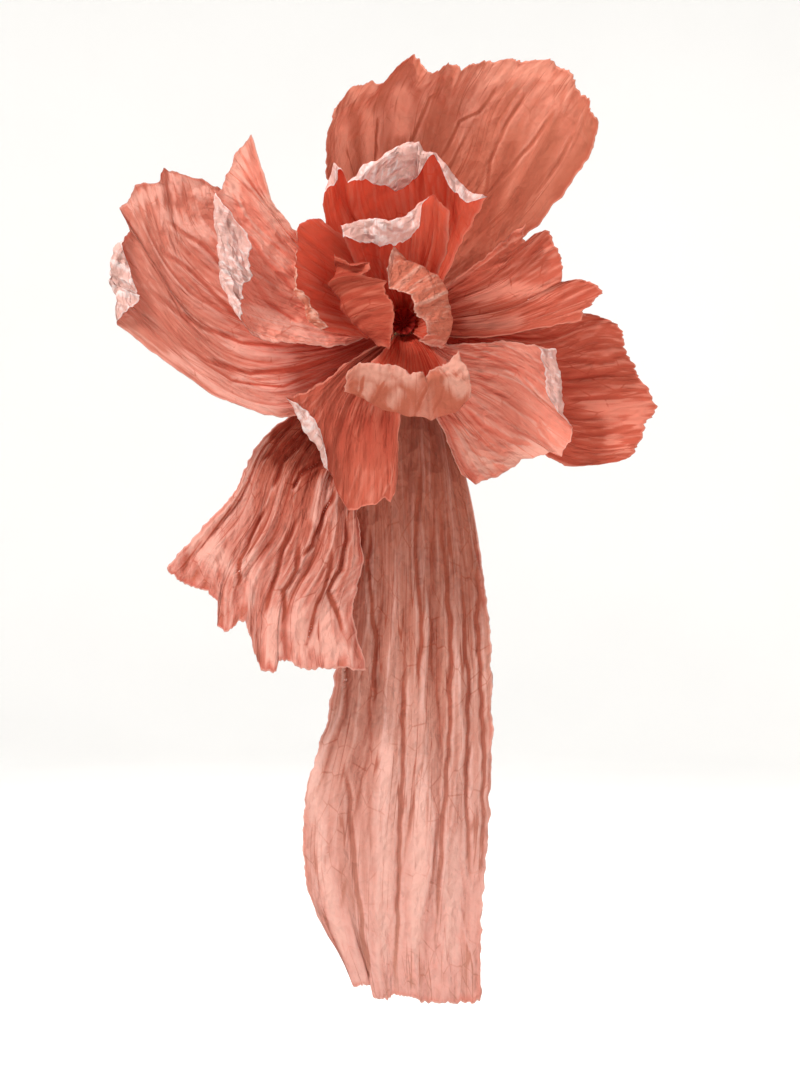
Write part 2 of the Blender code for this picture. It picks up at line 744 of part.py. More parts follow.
def grid_faces(rows, columns):
    """Faces of a closed sheet: a front grid, a back grid and the strips that join their edges.

    The cells are bent, so each is cut along the same diagonal on the front and the back. Otherwise
    the two would cross where the paper is twisted.
    """

    def front(i, j):
        return i * columns + j

    def back(i, j):
        return (rows + i) * columns + j

    faces = []
    for i in range(rows - 1):
        for j in range(columns - 1):
            corners = [(i, j), (i, j + 1), (i + 1, j + 1), (i + 1, j)]
            for half in halves(corners, (i + j) % 2):
                faces.append([front(*c) for c in half])
                faces.append([back(*c) for c in reversed(half)])
    edge = [(0, j) for j in range(columns - 1)]
    edge += [(i, columns - 1) for i in range(rows - 1)]
    edge += [(rows - 1, j) for j in range(columns - 1, 0, -1)]
    edge += [(i, 0) for i in range(rows - 1, 0, -1)]
    for here, there in zip(edge, edge[1:] + edge[:1], strict=True):
        faces.extend(halves([front(*there), front(*here), back(*here), back(*there)], False))
    return faces


def add_petal(petal):
    """One gathered and pleated paper petal, as a thin closed sheet."""
    points, normals = pleated_sheet(petal)
    rows, columns = points.shape[:2]
    front = world(points + normals * PAPER / 2).reshape(-1, 3)
    back = world(points - normals * PAPER / 2).reshape(-1, 3)
    surface = material("paper_" + petal.name, petal.paper, 0.85)
    return add_mesh(petal.name, np.concatenate([front, back]), grid_faces(rows, columns), surface)


def add_rosette():
    """The pleated disc that closes the core's front end, pinched to a point in its middle."""
    profile = np.array(ROSETTE_PROFILE)
    seat = core_front() + FIT + PAPER / 2 + ROSETTE_PLEAT_DEPTH * profile[0, 0] / profile[-1, 0]
    columns = 2 * ROSETTE_PLEATS
    bearings = np.linspace(0, 360, columns, endpoint=False)
    fold = np.where(np.arange(columns) % 2, 1.0, -1.0)
    rings = [on_core(r, bearings, seat + lift) for r, lift in profile]
    depths = ROSETTE_PLEAT_DEPTH * profile[:, 0] / profile[-1, 0]
    middle = np.array([0.0, 0.0, seat])
    front, back = [], []
    for ring, depth in zip(rings, depths, strict=True):
        ring = ring + np.outer(fold * depth, [0, 0, 1])
        front.extend(ring + [0, 0, PAPER / 2])
        back.extend(ring - [0, 0, PAPER / 2])
    vertices = np.array([*front, middle + [0, 0, PAPER / 2], *back, middle - [0, 0, PAPER / 2]])
    hub = len(front)
    shift = hub + 1
    faces = []
    for j in range(columns):
        k = (j + 1) % columns
        faces.append([hub, j, k])
        faces.append([shift + hub, shift + k, shift + j])
        for i in range(len(profile) - 1):
            quad = [i * columns + j, (i + 1) * columns + j, (i + 1) * columns + k, i * columns + k]
            faces.append(quad)
            faces.append([shift + v for v in reversed(quad)])
        last = (len(profile) - 1) * columns
        faces.append([last + j, shift + last + j, shift + last + k, last + k])
    return add_mesh("throat_rosette", world(vertices), faces, material("paper_throat", PAPER_DEEP, 0.85))


def turned(name, profile, surface, sides=ROUND_SIDES, ring=False):
    """A piece turned about the core's axis from points (radius, forward), back to front.

    A ring's profile is a closed loop. Otherwise flat end faces close its first and last points.
    """
    angles = np.linspace(0, 2 * math.pi, sides, endpoint=False)
    vertices = [(r * math.cos(a), -forward, r * math.sin(a)) for r, forward in profile for a in angles]
    faces = []
    loops = len(profile) if ring else len(profile) - 1
    for i in range(loops):
        here, there = i * sides, (i + 1) % len(profile) * sides
        for j in range(sides):
            k = (j + 1) % sides
            faces.append([here + k, there + k, there + j, here + j])
    if not ring:
        last = (len(profile) - 1) * sides
        faces.append(list(reversed(range(sides))))
        faces.append([last + j for j in range(sides)])
    return add_mesh(name, vertices, faces, surface)


def cut(body, cutter):
    """Takes the cutter's shape out of the body."""
    cutter.hide_render = True
    cutter.display_type = "WIRE"
    taken = body.modifiers.new("cut_" + cutter.name, "BOOLEAN")
    taken.operation = "DIFFERENCE"
    taken.object = cutter


def add_box(name, size, centre):
    """A plain box with its size along X, Y and Z."""
    half = np.array(size) / 2
    corners = [(x, y, z) for x in (-1, 1) for y in (-1, 1) for z in (-1, 1)]
    faces = [[0, 1, 3, 2], [4, 6, 7, 5], [0, 4, 5, 1], [2, 3, 7, 6], [0, 2, 6, 4], [1, 5, 7, 3]]
    return add_mesh(name, np.array(corners) * half + np.array(centre), faces, material("cutter", ZINC, 0.5))


def core_back():
    """How far forward the core's back end is."""
    return PLATE_THICKNESS + FIT


def core_front():
    """How far forward the core's front end is."""
    return core_back() + CORE_LENGTH


def add_plate():
    """The round plywood plate, with countersunk holes for the core's screws and a keyhole for a nail."""
    profile = [
        (PLATE_RADIUS - PLATE_EDGE, 0),
        (PLATE_RADIUS, PLATE_EDGE),
        (PLATE_RADIUS, PLATE_THICKNESS - PLATE_EDGE),
        (PLATE_RADIUS - PLATE_EDGE, PLATE_THICKNESS),
    ]
    plate = turned("wall_plate", profile, material("plywood", PLYWOOD, 0.7), sides=PLATE_SIDES)
    before, beyond = -PLATE_THICKNESS, 2 * PLATE_THICKNESS
    head = SCREW_HEAD_RADIUS + SCREW_CLEARANCE
    shank = SCREW_SHANK_RADIUS + SCREW_CLEARANCE
    rim = SCREW_SINK + SCREW_CLEARANCE
    hole = [(head, before), (head, rim), (shank, rim + SCREW_HEAD_DEPTH), (shank, beyond)]
    for side, name in SIDES:
        cutter = turned("screw_hole_cutter_" + name, hole, material("cutter", ZINC, 0.5), sides=SCREW_SIDES)
        cutter.location.x = side * SCREW_SPREAD
        cut(plate, cutter)
    entry = [(NAIL_HEAD_RADIUS, before), (NAIL_HEAD_RADIUS, beyond)]
    top = [(NAIL_SHANK_RADIUS, before), (NAIL_SHANK_RADIUS, beyond)]
    for name, profile, height in (
        ("keyhole_entry_cutter", entry, KEYHOLE_HEIGHT - KEYHOLE_DROP),
        ("keyhole_top_cutter", top, KEYHOLE_HEIGHT),
    ):
        cutter = turned(name, profile, material("cutter", ZINC, 0.5))
        cutter.location.z = height
        cut(plate, cutter)
    # The slot is a hair narrower than the round top, so that no faces coincide.
    width = 2 * NAIL_SHANK_RADIUS * SLOT_SHARE
    slot = add_box(
        "keyhole_slot_cutter",
        (width, beyond - before, KEYHOLE_DROP),
        (0, -PLATE_THICKNESS / 2, KEYHOLE_HEIGHT - KEYHOLE_DROP / 2),
    )
    cut(plate, slot)
    return plate


def add_core():
    """The wooden core that carries the rings of petals, with pilot holes for its screws."""
    profile = [
        (CORE_RADIUS - CORE_EDGE, core_back()),
        (CORE_RADIUS, core_back() + CORE_EDGE),
        (CORE_RADIUS, core_front() - CORE_EDGE),
        (CORE_RADIUS - CORE_EDGE, core_front()),
    ]
    core = turned("core_rod", profile, material("beech", BEECH, 0.6))
    pilot = SCREW_SHANK_RADIUS + SCREW_CLEARANCE
    end = SCREW_SINK + SCREW_LENGTH + SCREW_CLEARANCE
    for side, name in SIDES:
        hole = [(pilot, 0), (pilot, end)]
        cutter = turned("pilot_cutter_" + name, hole, material("cutter", ZINC, 0.5), sides=SCREW_SIDES)
        cutter.location.x = side * SCREW_SPREAD
        cut(core, cutter)
    return core


def add_screw(side, name):
    """One of the countersunk screws that hold the core to the plate, with a slot across its head."""
    head_end = SCREW_SINK + SCREW_HEAD_DEPTH
    tip = SCREW_SINK + SCREW_LENGTH
    profile = [
        (SCREW_HEAD_RADIUS, SCREW_SINK),
        (SCREW_SHANK_RADIUS, head_end),
        (SCREW_SHANK_RADIUS, tip - 2 * SCREW_SHANK_RADIUS),
        (SCREW_SHANK_RADIUS / 4, tip),
    ]
    screw = turned("core_screw_" + name, profile, material("zinc", ZINC, 0.35, 1.0), sides=SCREW_SIDES)
    screw.location.x = side * SCREW_SPREAD
    slot = add_box(
        "screw_slot_cutter_" + name,
        (3 * SCREW_HEAD_RADIUS, 2 * SCREW_SLOT, SCREW_SLOT),
        (side * SCREW_SPREAD, -SCREW_SINK, 0),
    )
    cut(screw, slot)
    return screw


def add_tie(ring, name):
    """The turns of soft wire that bind one ring's necks, as one band."""
    inner = (neck_radius(ring) + GATHER_DEPTH + PAPER / 2 + FIT) / math.cos(math.pi / ROUND_SIDES)
    outer = neck_radius(ring) + GATHER_DEPTH + PAPER / 2 + FIT + WIRE
    front = TIE_FORWARD + TIE_WIDTH
    profile = [(inner, TIE_FORWARD), (outer, TIE_FORWARD), (outer, front), (inner, front)]
    return turned(name, profile, material("iron_wire", IRON_WIRE, 0.5, 1.0), ring=True)


def main():
    """Clears the scene and builds the flower from the wall forwards."""
    for old in list(bpy.data.objects):
        bpy.data.objects.remove(old)
    add_plate()
    add_core()
    for side, name in SIDES:
        add_screw(side, name)
    for ring, name in enumerate(("heart_tie", "cup_tie", "middle_tie", "back_tie")):
        add_tie(ring, name)
    for petal in PETALS:
        add_petal(petal)
    add_rosette()


main()
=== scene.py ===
"""The looks of the giant paper flower: hand-dyed, crumpled paper petals tied around a wooden core.

Every petal is one thin sheet. It leaves its ring of wire in tight gathers, fans out over the guiding
points that the plain model has too, and carries long folds, short creases, a torn rim and the flaps that
are rolled over at it. Seen from the front, x is right, z is up and "forward" is away from the wall.
"""

import logging
import math
from dataclasses import dataclass, field
from enum import Enum

import bpy
import numpy as np
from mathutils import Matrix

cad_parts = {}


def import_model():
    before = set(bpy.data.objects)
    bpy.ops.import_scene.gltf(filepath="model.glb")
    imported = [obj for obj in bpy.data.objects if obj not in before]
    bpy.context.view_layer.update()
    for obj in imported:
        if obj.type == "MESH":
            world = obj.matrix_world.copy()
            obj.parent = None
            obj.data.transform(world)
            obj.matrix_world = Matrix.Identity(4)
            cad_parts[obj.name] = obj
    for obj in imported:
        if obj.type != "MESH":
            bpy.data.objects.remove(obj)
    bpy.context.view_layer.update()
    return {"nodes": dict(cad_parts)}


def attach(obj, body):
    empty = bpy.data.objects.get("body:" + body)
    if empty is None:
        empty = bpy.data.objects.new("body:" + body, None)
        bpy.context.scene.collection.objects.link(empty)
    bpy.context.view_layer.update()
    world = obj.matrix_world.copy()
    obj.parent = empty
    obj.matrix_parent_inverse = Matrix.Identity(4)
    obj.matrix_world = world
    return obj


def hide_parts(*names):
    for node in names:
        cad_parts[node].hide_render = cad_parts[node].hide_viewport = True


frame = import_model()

LOG = logging.getLogger("paper_flower")
Grid = np.ndarray
Socket = bpy.types.NodeSocket
Point = tuple[float, float, float]
Colour = tuple[float, float, float, float]
Line = tuple[tuple[float, float], ...]


def dye(red: int, green: int, blue: int) -> Colour:
    """The scene colour of a dye named by its red, green and blue from 0 to 255 on a screen."""
    shares = (value / 255 for value in (red, green, blue))
    return (*(s / 12.92 if s <= 0.04045 else ((s + 0.055) / 1.055) ** 2.4 for s in shares), 1.0)


def smooth_through(knots: Grid, values: Grid, at: Grid) -> Grid:
    """A smooth curve through every value, read at the places in at.

    Args:
        knots: Rising places of the values.
        values: One value, or row of values, for each knot.
        at: The places to read.

    Returns:
        A value, or row of values, for each place.
    """
    gaps = np.diff(knots)
    slopes = np.diff(values, axis=0) / gaps.reshape(-1, *[1] * (values.ndim - 1))
    weight = (gaps[:-1] / (gaps[:-1] + gaps[1:])).reshape(-1, *[1] * (values.ndim - 1))
    inner = slopes[:-1] * (1 - weight) + slopes[1:] * weight
    tangents = np.concatenate([slopes[:1], inner, slopes[-1:]])
    cell = np.clip(np.searchsorted(knots, at, side="right") - 1, 0, len(gaps) - 1)
    gap = gaps[cell].reshape(-1, *[1] * (values.ndim - 1))
    t = ((at - knots[cell]) / gaps[cell]).reshape(gap.shape)
    return (
        values[cell] * (2 * t**3 - 3 * t**2 + 1)
        + tangents[cell] * gap * (t**3 - 2 * t**2 + t)
        + values[cell + 1] * (3 * t**2 - 2 * t**3)
        + tangents[cell + 1] * gap * (t**3 - t**2)
    )


def shares_of(lengths: Grid) -> Grid:
    """Running shares, from 0 to 1, of a row of lengths."""
    return np.concatenate([[0.0], np.cumsum(lengths)]) / np.sum(lengths)


def unit(vectors: Grid) -> Grid:
    """The vectors at length 1."""
    return vectors / np.maximum(np.linalg.norm(vectors, axis=-1, keepdims=True), 1e-9)


def ease(low: float, high: float, value: Grid) -> Grid:
    """A smooth rise from 0 at low to 1 at high."""
    t = np.clip((value - low) / (high - low), 0, 1)
    return t * t * (3 - 2 * t)


def zigzag(phase: Grid) -> Grid:
    """A straight-sided wave from -1 to 1, one wave to each whole phase, as paper folds."""
    return 4 * np.abs(phase - np.floor(phase + 0.5)) - 1


def softened(values: Grid, times: int) -> Grid:
    """The grid with each value blended a number of times with its four neighbours."""
    for _ in range(times):
        wide = np.pad(values, 1, mode="edge")
        sides = wide[:-2, 1:-1] + wide[2:, 1:-1] + wide[1:-1, :-2] + wide[1:-1, 2:]
        values = values / 2 + sides / 8
    return values


def world(points: Grid) -> Grid:
    """Points (x, z, forward) as the scene's (X, Y, Z)."""
    return np.stack([points[..., 0], -points[..., 2], points[..., 1]], -1)


@dataclass(frozen=True)
class Grain:
    """Seeded smooth noise over a sheet, from a lattice of random slopes."""

    seed: int
    cells: int = 256

    def at(self, x: Grid, y: Grid) -> Grid:
        """Noise with features about one unit apart.

        Args:
            x: Places across.
            y: Places along.

        Returns:
            A number of about -1 to 1 for each place.
        """
        angles = np.random.default_rng(self.seed).uniform(0, 2 * math.pi, (self.cells, self.cells))
        slopes = np.stack([np.cos(angles), np.sin(angles)], -1)
        x, y = np.broadcast_arrays(x, y)
        i, j = np.floor(x).astype(int), np.floor(y).astype(int)
        fx, fy = x - i, y - j
        wx, wy = (t**3 * (t * (6 * t - 15) + 10) for t in (fx, fy))
        total = np.zeros(x.shape)
        for di, across in ((0, 1 - wx), (1, wx)):
            for dj, along in ((0, 1 - wy), (1, wy)):
                slope = slopes[(i + di) % self.cells, (j + dj) % self.cells]
                total += across * along * (slope[..., 0] * (fx - di) + slope[..., 1] * (fy - dj))
        return 1.5 * total

    def ridges(self, x: Grid, y: Grid) -> Grid:
        """Noise of about -1 to 1 with sharp crests where smooth noise passes through nothing."""
        return 1 - 3 * np.abs(self.at(x, y))


class Tone(Enum):
    """The papers of the flower, by the part that wears them. Some are the papers' own dyes; some are
    lighter copies of them as painted light and darker copies as painted shade, for the petals that wear
    them.
    """

    CORAL = "coral"
    PEACH = "peach"
    SALMON = "salmon"
    RUST = "rust"
    CLAY = "clay"
    ROSE = "rose"
    DUSK = "dusk"
    EMBER = "ember"
    BLUSH = "blush"
    SHELL = "shell"
    HUSK = "husk"
    THROAT = "throat"


class Recipe:
    """One material, built node by node, each node wired as it is made."""

    def __init__(self, name: str) -> None:
        """Starts an empty material with its output.

        Args:
            name: The material's name.
        """
        self.material = bpy.data.materials.new(name)
        self.material.use_nodes = True
        self.tree = self.material.node_tree
        self.tree.nodes.clear()
        self.output = self.tree.nodes.new("ShaderNodeOutputMaterial")

    def node(
        self,
        kind: str,
        wires: dict[str | int, Socket] | None = None,
        sockets: dict[str | int, float | Point] | None = None,
        **settings: str,
    ) -> bpy.types.Node:
        """Adds a node.

        Args:
            kind: The node's type, without its ShaderNode prefix.
            wires: Output sockets of other nodes, by the name or number of the input they feed.
            sockets: Fixed values, by the name or number of their input.
            settings: The node's own settings.

        Returns:
            The new node.
        """
        made = self.tree.nodes.new("ShaderNode" + kind)
        for key, value in settings.items():
            setattr(made, key, value)
        for key, value in (sockets or {}).items():
            made.inputs[key].default_value = value
        for key, source in (wires or {}).items():
            self.tree.links.new(source, made.inputs[key])
        return made

    def reading(self, name: str) -> Socket:
        """The socket of a number stored on the mesh."""
        return self.node("Attribute", attribute_name=name).outputs["Fac"]

    def placed(self, source: Socket, scale: Point, turn: Point = (0.0, 0.0, 0.0)) -> Socket:
        """The source's places, stretched and turned."""
        sockets = {"Scale": scale, "Rotation": turn}
        return self.node("Mapping", {"Vector": source}, sockets).outputs["Vector"]

    def noise(self, place: Socket, scale: float, detail: float = 3.0, rough: float = 0.55) -> Socket:
        """The value of a noise read at a place."""
        sockets = {"Scale": scale, "Detail": detail, "Roughness": rough}
        return self.node("TexNoise", {"Vector": place}, sockets).outputs["Fac"]

    def sum(self, first: Socket | float, second: Socket | float, operation: str = "ADD") -> Socket:
        """Two numbers joined by an operation.

        Args:
            first: A socket or a plain number.
            second: A socket or a plain number.
            operation: What a Math node does with them.

        Returns:
            Socket of the result.
        """
        made = self.node("Math", operation=operation)
        for place, value in enumerate((first, second)):
            if isinstance(value, (int, float)):
                made.inputs[place].default_value = value
            else:
                self.tree.links.new(value, made.inputs[place])
        return made.outputs[0]

    def share(self, value: Socket, low: float, high: float) -> Socket:
        """A number eased from 0 at low to 1 at high.

        Args:
            value: Socket of the number.
            low: Where the share is 0.
            high: Where it is 1, which may lie below low.

        Returns:
            Socket of the share.
        """
        sockets = {"From Min": low, "From Max": high}
        made = self.node("MapRange", {"Value": value}, sockets, interpolation_type="SMOOTHSTEP")
        return made.outputs["Result"]

    def ramp(self, value: Socket, stops: tuple[tuple[float, Colour], ...]) -> Socket:
        """A colour that runs through the stops as a number rises.

        Args:
            value: Socket of the number.
            stops: The place and the colour of each stop.

        Returns:
            Socket of the colour.
        """
        made = self.node("ValToRGB", {"Fac": value})
        band = made.color_ramp.elements
        while len(band) < len(stops):
            band.new(0.5)
        for step, (place, colour) in zip(band, stops, strict=True):
            step.position, step.color = place, colour
        return made.outputs["Color"]

    def mix(self, share: Socket, first: Socket | Colour, second: Socket | Colour) -> Socket:
        """Mixes two colours.

        Args:
            share: How much of the second there is, from 0 to 1.
            first: A socket or a plain colour.
            second: A socket or a plain colour.

        Returns:
            The mixed colour.
        """
        made = self.node("Mix", data_type="RGBA")
        self.tree.links.new(share, made.inputs[0])
        for place, value in ((6, first), (7, second)):
            if isinstance(value, tuple):
                made.inputs[place].default_value = value
            else:
                self.tree.links.new(value, made.inputs[place])
        return made.outputs[2]

    def bump(self, height: Socket, depth: float) -> Socket:
        """The surface slopes of a height, whose depth is in metres."""
        return self.node("Bump", {"Height": height}, {"Distance": depth}).outputs["Normal"]

    def finish(self, shader: Socket) -> bpy.types.Material:
        """Wires the last shader to the output and returns the material."""
        self.tree.links.new(shader, self.output.inputs["Surface"])
        return self.material


# How many of each marking there are to a metre across the sheet and along it.
BANDS = (20.0, 1.5, 1.0)
STREAKS = (120.0, 5.0, 1.0)
CLOUDS = (8.0, 5.0, 1.0)
FIBRES = (800.0, 330.0, 1.0)
RAYS = (46.0, 2.0, 1.0)
RAY_BREAKS = (30.0, 6.0, 1.0)
CRUMPLE_EDGES = (36.0, 17.0, 1.0)
EDGE_BREAKS = (15.0, 9.0, 1.0)
DRIFTS = (22.0, 14.0, 1.0)
CRINKLES = (300.0, 12.0, 1.0)
BROAD_PLEATS = (22.0, 3.5, 1.0)
NARROW_PLEATS = (64.0, 8.0, 1.0)
MILLIMETRE = 0.001


@dataclass(frozen=True)
class PaperFinish:
    """Thin hand-dyed paper with its own dye at the torn rim, painted shade in its folds and creases and
    painted highlight on its crests.

    body is the plain dye, and the two colours after it are the darker and the lighter one. The darker is
    the dye where it lies thick and also serves as painted shade in folds and creases; the lighter is the
    dye where it is rubbed thin and also serves as painted highlight on crests and along the torn edge. tip
    is the body's dye near the rim, heart the deeper, redder colour near the neck and rim the dye at the
    torn edge. glow is the share of light that comes through the paper, and deepen how much richer its
    colour is. band, cloud, streak, fold and line
    are how strongly the long bands, the clouds, the fine streaks, the folds and the thin creases change the
    tone:
    the folds as painted highlight on their crests and painted shade in their valleys, the thin creases as
    painted shade. net is how strong the creases between the crumples are beside the ones that run outwards.
    pleat, crinkle and crumple are the depths of the shallow relief in millimetres, grit is the number of
    crumples to a metre across and along the sheet, and edge how strongly the painted highlight lightens the
    torn edge.
    """

    body: Colour
    pool_and_shade: Colour
    wear_and_highlight: Colour
    rim: Colour
    heart: Colour
    tip: Colour
    glow: float = 0.34
    deepen: float = 1.7
    band: float = 0.5
    cloud: float = 0.35
    streak: float = 0.28
    fold: float = 0.2
    line: float = 0.4
    net: float = 0.5
    pleat: float = 6.0
    crinkle: float = 1.5
    crumple: float = 2.4
    grit: tuple[float, float] = (46.0, 22.0)
    edge: float = 0.75
    roughness: float = 0.78

    def dress(self, name: str) -> bpy.types.Material:
        """Makes the material.

        Args:
            name: The material's name.

        Returns:
            The material, for a mesh with the Sheet and Fan UV maps, the reach, fold and edge numbers, and
            the number that paints light and shade along the petal's lines.
        """
        made = Recipe(name)
        sheet = made.node("UVMap", uv_map="Sheet").outputs["UV"]
        fan = made.node("UVMap", uv_map="Fan").outputs["UV"]
        reach, fold, edge, pale = (made.reading(key) for key in ("reach", "fold", "edge", "pale"))
        bands = made.noise(made.placed(fan, BANDS), 1.0, 3.0, 0.55)
        streaks = made.noise(made.placed(fan, STREAKS), 1.0, 4.0, 0.6)
        clouds = made.noise(made.placed(sheet, CLOUDS), 1.0, 3.0, 0.5)
        fibres = made.noise(made.placed(sheet, FIBRES, (0.0, 0.0, 0.6)), 1.0, 2.0)
        lines = self.creases(made, fan, sheet)
        parts = ((bands, self.band), (clouds, self.cloud), (streaks, self.streak), (fibres, 0.1))
        # Painted highlight on the crests of the folds and painted shade in their valleys.
        tone = made.sum(0.5, made.sum(fold, self.fold, "MULTIPLY"))
        for part, weight in parts:
            tone = made.sum(tone, made.sum(made.sum(part, -0.5), weight, "MULTIPLY"))
        # Painted shade along the thin creases.
        tone = made.sum(tone, made.sum(lines, self.line, "MULTIPLY"), "SUBTRACT")
        # Painted highlight and painted shade along the petal's listed lines and grooves.
        tone = made.sum(tone, made.sum(pale, 0.42, "MULTIPLY"))
        paper = made.ramp(tone, ((0.2, self.pool_and_shade), (0.5, self.body), (0.8, self.wear_and_highlight)))
        outer = made.ramp(tone, ((0.2, self.body), (0.5, self.tip), (0.78, self.wear_and_highlight)))
        paper = made.mix(made.share(reach, 0.45, 1.0), paper, outer)
        near = made.sum(reach, made.sum(made.sum(streaks, -0.5), 0.5, "MULTIPLY"))
        paper = made.mix(made.sum(made.share(near, 0.66, 0.12), 0.8, "MULTIPLY"), paper, self.heart)
        ragged = made.sum(edge, made.sum(made.sum(clouds, -0.5), 0.05, "MULTIPLY"))
        paper = made.mix(made.sum(made.share(ragged, 0.012, -0.006), 0.6, "MULTIPLY"), paper, self.rim)
        # Painted highlight along the torn edge.
        edge_highlight_band = made.sum(edge, made.sum(made.sum(streaks, -0.5), 0.006, "MULTIPLY"))
        edge_highlight = made.sum(made.share(edge_highlight_band, 0.0046, 0.0014), self.edge, "MULTIPLY")
        paper = made.mix(edge_highlight, paper, self.wear_and_highlight)
        slopes = self.wrinkles(made, sheet, fan, lines)
        solid = made.node(
            "BsdfPrincipled",
            {"Base Color": paper, "Normal": slopes},
            {"Roughness": self.roughness, "Specular IOR Level": 0.3},
        )
        light = made.node("Gamma", {"Color": paper}, {"Gamma": self.deepen}).outputs["Color"]
        through = made.node("BsdfTranslucent", {"Color": light, "Normal": slopes})
        both = made.node(
            "MixShader", {1: solid.outputs[0], 2: through.outputs[0]}, {"Fac": self.glow}
        )
        return made.finish(both.outputs[0])

    def creases(self, made: Recipe, fan: Socket, sheet: Socket) -> Socket:
        """Thin creases that run outwards and break off, and straight ones between crumples, from 0 to 1.

        Args:
            made: The material in the making.
            fan: Socket of the places on the sheet, with the width taken the same all the way out.
            sheet: Socket of the places on the sheet.

        Returns:
            Socket of the number.
        """
        rays = made.noise(made.placed(fan, RAYS), 1.0, 1.5, 0.5)
        rays = made.sum(made.sum(rays, -0.5), 0.0, "ABSOLUTE")
        kept = made.share(made.noise(made.placed(fan, RAY_BREAKS), 1.0, 1.0), 0.44, 0.6)
        outward = made.sum(made.share(rays, 0.024, 0.0), kept, "MULTIPLY")
        spot = made.placed(sheet, CRUMPLE_EDGES, (0.0, 0.0, 0.3))
        settings = {"voronoi_dimensions": "2D", "feature": "DISTANCE_TO_EDGE"}
        cells = made.node("TexVoronoi", {"Vector": spot}, {"Scale": 1.0}, **settings)
        some = made.share(made.noise(made.placed(sheet, EDGE_BREAKS), 1.0, 1.0), 0.42, 0.6)
        between = made.sum(made.share(cells.outputs["Distance"], 0.05, 0.0), some, "MULTIPLY")
        return made.sum(outward, made.sum(between, self.net, "MULTIPLY"), "MAXIMUM")

    def facets(self, made: Recipe, place: Socket, scale: Point, turn: float) -> Socket:
        """Flat-sided dents with sharp ridges between them.

        Args:
            made: The material in the making.
            place: Socket of the places on the sheet.
            scale: Dents to a metre across and along the sheet.
            turn: How far the dents' length is turned, in radians.

        Returns:
            Socket of the height.
        """
        spot = made.placed(place, scale, (0.0, 0.0, turn))
        dents = made.node(
            "TexVoronoi", {"Vector": spot}, {"Scale": 1.0}, voronoi_dimensions="2D", distance="MANHATTAN"
        )
        return dents.outputs["Distance"]

    def wrinkles(self, made: Recipe, sheet: Socket, fan: Socket, lines: Socket) -> Socket:
        """Long flat pleats, crumples, crinkles and thin creases as slopes of the surface.

        Args:
            made: The material in the making.
            sheet: Socket of the places on the sheet.
            fan: Socket of the places with the width taken the same all the way out.
            lines: Socket of the thin creases.

        Returns:
            Socket of the bent surface normal.
        """
        drift = made.noise(made.placed(sheet, DRIFTS), 1.0, 2.0)
        sway = made.sum(drift, 0.014, "MULTIPLY")
        bent_sheet, bent_fan = (
            made.node("VectorMath", {0: place, 1: sway}, operation="ADD").outputs["Vector"]
            for place in (sheet, fan)
        )
        fine = made.noise(made.placed(fan, CRINKLES), 1.0, 2.0)
        height = made.sum(fine, self.crinkle, "MULTIPLY")
        for place, scale, turn, weight in (
            (bent_fan, BROAD_PLEATS, 0.0, self.pleat),
            (bent_fan, NARROW_PLEATS, 0.1, self.pleat * 0.36),
            (bent_sheet, (*self.grit, 1.0), 0.4, self.crumple),
            (bent_sheet, (*(2.3 * count for count in self.grit), 1.0), -0.7, self.crumple * 0.33),
            (bent_sheet, (*(5.2 * count for count in self.grit), 1.0), 1.1, self.crumple * 0.07),
        ):
            dents = self.facets(made, place, scale, turn)
            height = made.sum(height, made.sum(dents, weight, "MULTIPLY"))
        height = made.sum(height, made.sum(lines, 0.5, "MULTIPLY"), "SUBTRACT")
        return made.bump(height, MILLIMETRE)


@dataclass(frozen=True)
class WoodFinish:
    """Bare wood with its grain along one direction."""

    light: Colour
    dark: Colour
    stretch: Point
    plies: float = 0.0
    roughness: float = 0.62

    def dress(self, name: str) -> bpy.types.Material:
        """Makes the material, for a carried-over solid, whose places are in metres.

        Args:
            name: The material's name.

        Returns:
            The material.
        """
        made = Recipe(name)
        place = made.node("TexCoord").outputs["Object"]
        grain = made.noise(made.placed(place, self.stretch), 1.0, 6.0, 0.62)
        pores = made.noise(made.placed(place, tuple(6 * s for s in self.stretch)), 1.0, 2.0)
        tone = made.sum(grain, made.sum(made.sum(pores, -0.5), 0.35, "MULTIPLY"))
        wood = made.ramp(tone, ((0.3, self.dark), (0.62, self.light)))
        if self.plies:
            apart = made.node("SeparateXYZ", {"Vector": place}).outputs["Y"]
            layers = made.sum(made.sum(apart, 2 * math.pi * self.plies, "MULTIPLY"), 0.0, "SINE")
            edge = made.node("NewGeometry").outputs["Normal"]
            facing = made.node("SeparateXYZ", {"Vector": edge}).outputs["Y"]
            on_side = made.share(made.sum(facing, 0.0, "ABSOLUTE"), 0.5, 0.2)
            wood = made.mix(made.sum(made.share(layers, 0.0, 0.5), on_side, "MULTIPLY"), wood, self.dark)
        surface = made.node(
            "BsdfPrincipled",
            {"Base Color": wood, "Normal": made.bump(tone, 0.0004)},
            {"Roughness": self.roughness},
        )
        return made.finish(surface.outputs[0])


@dataclass(frozen=True)
class MetalFinish:
    """Plain metal, dulled in patches."""

    body: Colour
    dull: Colour
    roughness: float

    def dress(self, name: str) -> bpy.types.Material:
        """Makes the material.

        Args:
            name: The material's name.

        Returns:
            The material.
        """
        made = Recipe(name)
        place = made.node("TexCoord").outputs["Object"]
        patches = made.noise(place, 420.0, 4.0)
        metal = made.ramp(patches, ((0.35, self.dull), (0.65, self.body)))
        rough = made.sum(made.sum(patches, 0.25, "MULTIPLY"), self.roughness)
        surface = made.node(
            "BsdfPrincipled",
            {"Base Color": metal, "Roughness": rough, "Normal": made.bump(patches, 0.0001)},
            {"Metallic": 1.0},
        )
        return made.finish(surface.outputs[0])


